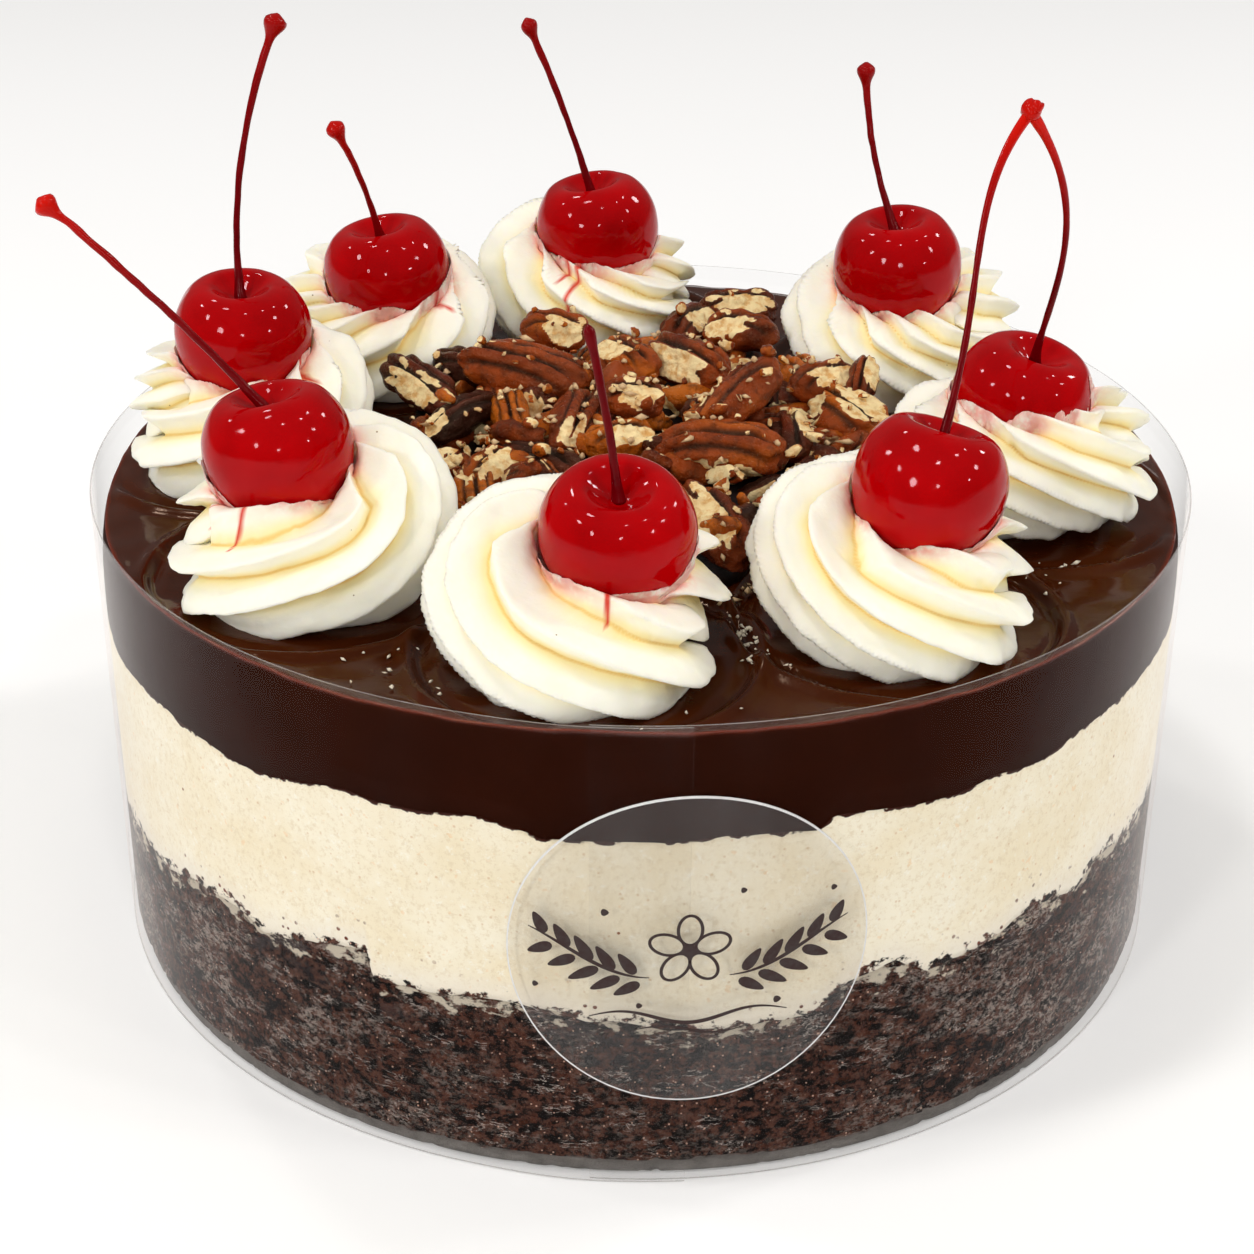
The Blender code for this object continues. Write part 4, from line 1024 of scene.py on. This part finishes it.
def nut_shape(nut, seed, around, lengthways):
    """Points, faces and surface values of one pecan piece."""
    x, y, rise, yaw, pitch, roll, long, wide, thick, tone, cuts = nut
    v = np.linspace(0.0, math.pi, lengthways)[:, None]
    u = np.linspace(0, FULL_TURN, around, endpoint=False)
    q = np.stack([np.cos(v) * np.ones(around), np.sin(v) * np.cos(u), np.sin(v) * np.sin(u)], -1)
    q = q.reshape(-1, 3)
    # A pecan half in unit size: blunt ends, a deep middle groove, two side grooves and cross ribs.
    blunt = (np.abs(q[:, 0]) ** 2.6 + (q[:, 1] ** 2 + q[:, 2] ** 2) ** 1.15) ** (-1 / 2.3)
    side = q[:, 1] + 0.10 * noise(q, 0.7, seed + 8)
    top = np.clip(q[:, 2] + 0.25, 0, 1) ** 0.4
    ends = np.clip(1 - np.clip(np.abs(q[:, 0]) - 0.70, 0, 1) / 0.30, 0, 1)
    groove = np.exp(-(side / 0.12) ** 2) * top * ends
    sides = np.exp(-((np.abs(side) - 0.60) / 0.10) ** 2) * top * ends
    under = np.exp(-(side / 0.18) ** 2) * np.clip(-q[:, 2], 0, 1) * ends
    body = blunt * (1 - 0.36 * groove - 0.16 * sides - 0.16 * under)
    ribs = np.sin(9.5 * q[:, 0] + 4 * np.abs(side) + 2.0 * noise(q, 0.5, seed + 9) + seed)
    body *= 1 + 0.050 * ribs * (1 - groove) * np.clip(1.2 - np.abs(q[:, 0]), 0, 1)
    lumps = 0.11 * noise(q, 0.8, seed) + 0.075 * noise(q, 0.33, seed + 1) + 0.022 * noise(q, 0.12, seed + 2)
    body *= 1 + lumps
    size = np.array([long, wide, thick]) * 0.0005
    flesh = np.zeros(len(q))
    crumble = 0.55 * noise(q * size, 0.0016, seed + 3) + 0.30 * noise(q * size, 0.0008, seed + 4)
    rough = 1 + 0.12 * noise(q, 0.35, seed + 6) + 0.26 * crumble
    for cut in cuts:
        facing = q @ (np.array(cut[:3]) / np.linalg.norm(cut[:3]))
        limit = np.where(facing > 0.02, (0.50 + 0.40 * cut[3]) * rough / np.maximum(facing, 0.02), 9.0)
        flesh = np.maximum(flesh, eased(-0.03, 0.04, (body - limit) / body))
        body = np.minimum(body, limit)
    turn = Matrix.Rotation(math.radians(yaw), 3, "Z") @ Matrix.Rotation(math.radians(-pitch), 3, "Y")
    turn = turn @ Matrix.Rotation(math.radians(roll), 3, "X")
    points = (q * body[:, None] * size) @ np.array(turn).T
    points = points + np.array([x * 0.001, y * 0.001, CAKE_TOP + rise * 0.001])
    tones = np.clip(tone + 0.22 * noise(q, 0.6, seed + 5), 0, 1)
    # deep marks the grooves, where the pecan look paints shade.
    values = {"flesh": flesh, "tone": tones, "deep": np.clip(groove + 0.7 * sides, 0, 1)}
    return points, grid_faces(lengthways, around, True), values


def clear_of_swirls(points):
    """The sideways move that brings a piece clear of the swirls, in metres."""
    move = np.zeros(3)
    for _ in range(4):
        for spec in SWIRLS:
            off = points[:, :2] + move[:2] - np.array(spec["at"])
            dist = np.linalg.norm(off, axis=1)
            nearest = dist.argmin()
            short = spec["radius"] - 0.0004 - dist[nearest]
            if short > 0:
                move[:2] += off[nearest] / dist[nearest] * short
    return move


def gather(name, nuts, material, around, lengthways, seed):
    """Many pieces of one kind as a single mesh; gives back its points."""
    pile = Pile()
    for number, nut in enumerate(nuts):
        points, faces, values = nut_shape(nut, seed + 11 * number, around, lengthways)
        move = clear_of_swirls(points)
        move[2] = max(0.0, CAKE_TOP + 0.0001 - points[:, 2].min())
        # A piece that would have to move far has no room there.
        if np.linalg.norm(move[:2]) <= 0.40 * nut[6] * 0.001:
            pile.add(points + move, faces, values)
    return pile.build(name, material, "pecan_heap", "pecan")


def resting(ground, x, y, reach=0.0007):
    """The height of the pieces below a place, or of the chocolate where there are none."""
    near = (np.abs(ground[:, 0] - x) < reach) & (np.abs(ground[:, 1] - y) < reach)
    return float(ground[near, 2].max()) if near.any() else CAKE_TOP


def nut_bits(ground):
    """Small crumbled bits that rest on the pieces below them."""
    draw = random.Random(23)
    bits = []
    for number in range(NUT_BITS):
        share = math.sqrt((number + 0.5) / NUT_BITS)
        angle = math.remainder(number * GOLDEN + draw.uniform(-0.2, 0.2), FULL_TURN)
        at = direction(angle) * (heap_edge(angle) - 0.0012) * share
        long = draw.uniform(1.0, 1.9) if number % 4 else draw.uniform(2.0, 3.6)
        cuts = [(draw.uniform(-1, 1), draw.uniform(-1, 1), draw.uniform(-1, 1), draw.uniform(-0.1, 0.5))
                for _ in range(5 if draw.random() < 0.75 else 2)]
        height = resting(ground, at[0], at[1]) - CAKE_TOP
        wide = long * draw.uniform(0.6, 0.9)
        bits.append((at[0] * 1000, at[1] * 1000, height * 1000 + 0.25 * wide, draw.uniform(0, 360),
                     draw.uniform(-30, 30), draw.uniform(0, 360), long, wide, wide * draw.uniform(0.7, 1.0),
                     draw.uniform(0.1, 0.6), cuts))
    return bits


def fill_nuts():
    """Broken pieces spread over the heap."""
    draw = random.Random(11)
    nuts = []
    for number in range(SMALL_NUTS):
        share = math.sqrt((number + 0.5) / SMALL_NUTS)
        angle = math.remainder(number * GOLDEN, FULL_TURN)
        long = draw.uniform(7.0, 13.0) if number % 3 else draw.uniform(3.6, 6.5)
        wide = long * draw.uniform(0.42, 0.66)
        thick = wide * draw.uniform(0.65, 0.95)
        at = direction(angle) * (heap_edge(angle) - 0.00045 * long) * share
        height = 7.0 * math.sqrt(max(0.0, 1.0 - 0.72 * share * share)) + draw.uniform(-2.4, 1.6)
        cuts = [(draw.uniform(-1, 1), draw.uniform(-1, 0.8), draw.uniform(-0.4, 1), draw.uniform(0.35, 0.85))
                for _ in range(draw.choice((1, 1, 2, 2, 3)))]
        nuts.append((at[0] * 1000, at[1] * 1000, max(2.0, height), draw.uniform(0, 360),
                     draw.uniform(-35, 35), draw.uniform(0, 360), long, wide, thick,
                     draw.uniform(0.05, 1.0), cuts))
    return nuts


def make_shadow_core(material):
    """Painted shadow: a low near-black core under the pieces that darkens the gaps between them."""
    columns = 120
    points = []
    for share in (0.15, 0.35, 0.55, 0.72, 0.86, 0.95, 1.0):
        for i in range(columns):
            angle = FULL_TURN * i / columns - math.pi
            at = direction(angle) * (heap_edge(angle) - 0.0016) * share
            points.append([at[0], at[1], CAKE_TOP + CORE_H * math.sqrt(max(0.0, 1.0 - 0.80 * share * share))])
    points = np.array(points)
    points[:, 2] += 0.0012 * noise(points, 0.005, 150) - 0.0004
    low = points[-columns:].copy()
    foot = CAKE_TOP + 0.0001
    low[:, 2] = foot
    points, faces = capped(np.vstack([points, low]), columns, [0, 0, CAKE_TOP + CORE_H], [0, 0, foot], True)
    build("pecan_shadow_core", points, faces, material, "pecan_heap")


GRAIN = np.array([[1, 0, 0], [-1, 0, 0], [0, 1, 0], [0, -1, 0], [0, 0, 1], [0, 0, -1]], float)
GRAIN_FACES = ((0, 2, 4), (2, 1, 4), (1, 3, 4), (3, 0, 4), (2, 0, 5), (1, 2, 5), (3, 1, 5), (0, 3, 5))
# Loose grains: places with their spread and number, sizes, look, node and slot.
GRAINS = {
    "cream_grains": (
        [(0.0155, -0.0600, 0.004, 40), (0.0160, -0.0680, 0.006, 40), (-0.033, -0.0700, 0.012, 20),
         (0.060, -0.0420, 0.010, 14), (-0.029, -0.058, 0.003, 14), (0.002, -0.0865, 0.030, 40)],
        (0.00012, 0.00034), ("cream_grain", rgb(246, 240, 224), rgb(222, 208, 180)), None, "cream"),
    "nut_grains": (
        [(0.016, -0.047, 0.006, 20), (0.0, -0.034, 0.010, 14), (0.040, -0.018, 0.008, 10),
         (-0.036, -0.030, 0.006, 8), (0.0, 0.0, 0.040, 160)],
        (0.00020, 0.00060), ("nut_grain", rgb(244, 218, 168), rgb(150, 92, 48)), "pecan_heap", "pecan"),
}


def make_crumbs(ground):
    """Small grains on the chocolate and the nuts: pale ones by the front swirls, nut crumbs."""
    draw = random.Random(5)
    for name, (places, sizes, look, node, slot) in GRAINS.items():
        pile = Pile()
        for x, y, spread, number in places:
            for _ in range(number):
                px, py = x + draw.gauss(0, 0.5) * spread, y + draw.gauss(0, 0.5) * spread
                size = draw.uniform(*sizes)
                if math.hypot(px, py) > CAKE_R - 0.0012:
                    continue
                if any(math.hypot(px - s["at"][0], py - s["at"][1]) < s["radius"] - 0.0005 for s in SWIRLS):
                    continue
                z = resting(ground, px, py) + 0.3 * size
                u = GRAIN * np.array([[draw.uniform(0.5, 1.6)] for _ in range(6)])
                u[:, 0] *= draw.uniform(0.8, 3.0)
                turn = np.array(Matrix.Rotation(draw.uniform(0, 6.28), 3, "Z"))
                pile.add((u * size) @ turn.T + np.array([px, py, z]), GRAIN_FACES)
        pile.build(name, grain_look(*look), node, slot)


# Build everything


make_crumb()
make_cheese()
make_ganache()
make_film()
make_label()
make_print()
cream = cream_look()
red = cherry_look()
stalk = stem_look()
for index, spec in enumerate(SWIRLS):
    make_swirl(index, spec, cream)
    make_cherry(index, spec, red)
for number, stem in enumerate(STEMS):
    make_stem(number, stem, stalk)
make_twin(stalk)
make_shadow_core(shadow_core_look())
pecan = nut_look()
ground = np.vstack([gather("pecan_halves", NUTS, pecan, 60, 52, 200),
                    gather("pecan_pieces", fill_nuts(), pecan, 28, 25, 900)])
gather("pecan_bits", nut_bits(ground), pecan, 14, 12, 3000)
make_crumbs(ground)

# Floor, light and camera

FLOOR = 4.0
floor_mesh = bpy.data.meshes.new("floor")
corners = [(x * FLOOR, y * FLOOR, -0.0002) for x, y in ((-1, -1), (1, -1), (1, 1), (-1, 1))]
floor_mesh.from_pydata(corners, [], [(0, 1, 2, 3)])
floor = bpy.data.objects.new("floor", floor_mesh)
bpy.context.scene.collection.objects.link(floor)
look = Look("floor")
pale = look.mix(look.noise(0.4, 2.0), (0.90, 0.90, 0.90, 1.0), (0.93, 0.93, 0.93, 1.0))
# The floor also glows a little: painted light that keeps it white and lights the cake from below.
look.put(look.shader, Base_Color=pale, Roughness=0.9, Specular_IOR_Level=0.1,
         Emission_Color=(1.0, 1.0, 1.0, 1.0), Emission_Strength=0.12)
floor_mesh.materials.append(look.material)

# Small bright lamps all round, as in a bright shop, above a soft pale room.
LAMPS = [(-0.50, -0.80, 0.42), (0.78, -0.57, 0.36), (-0.78, 0.18, 0.62), (-0.76, -0.36, 0.55),
         (0.61, 0.12, 0.80), (0.83, -0.23, 0.54), (0.79, 0.33, 0.53), (0.50, -0.23, 0.84),
         (0.06, -0.95, 0.36), (-0.30, -0.10, 0.95), (0.10, -0.50, 0.86), (-0.35, 0.45, 0.82)]
LAMP_KINDS = ((0.17, 2.9), (0.08, 1.1), (0.12, 1.55))
DISTANCE = 1.3
for number, towards in enumerate(LAMPS):
    data = bpy.data.lights.new(f"lamp_{number}", "AREA")
    data.shape = "DISK"
    data.size, data.energy = LAMP_KINDS[number % len(LAMP_KINDS)]
    data.color = (1.0, 0.98, 0.95)
    lamp = bpy.data.objects.new(f"lamp_{number}", data)
    ray = Vector(towards).normalized()
    lamp.location = ray * DISTANCE + Vector((0, 0, 0.08))
    lamp.rotation_euler = (-ray).to_track_quat("-Z", "Y").to_euler()
    bpy.context.scene.collection.objects.link(lamp)

world = bpy.data.worlds.new("room")
bpy.context.scene.world = world
world.use_nodes = True
nodes = world.node_tree.nodes
links = world.node_tree.links
split = nodes.new("ShaderNodeSeparateXYZ")
links.new(nodes.new("ShaderNodeTexCoord").outputs["Generated"], split.inputs[0])
ramp = nodes.new("ShaderNodeValToRGB")
ROOM = ((0.0, (0.45, 0.43, 0.41, 1.0)), (0.85, (0.95, 0.95, 0.96, 1.0)))
for element, (height, shade) in zip(ramp.color_ramp.elements, ROOM):
    element.position = height
    element.color = shade
links.new(split.outputs["Z"], ramp.inputs[0])
links.new(ramp.outputs[0], nodes["Background"].inputs["Color"])
nodes["Background"].inputs["Strength"].default_value = 0.34

camera = bpy.data.objects.new("camera", bpy.data.cameras.new("camera"))
bpy.context.scene.collection.objects.link(camera)
camera.data.sensor_width = 36.0
camera.data.lens = 70.92
camera.data.clip_start = 0.01
camera.data.clip_end = 20.0
right = Vector((0.99997827, 0.00313342, 0.00579972))
up = Vector((-0.00659205, 0.4753233, 0.87978651))
back = Vector((0.0, -0.87980562, 0.47533363))
place = Matrix.Translation((-0.002024, -0.374696, 0.247639))
camera.matrix_world = place @ Matrix((right, up, back)).transposed().to_4x4()
bpy.context.scene.camera = camera
bpy.context.scene.view_settings.view_transform = "Standard"
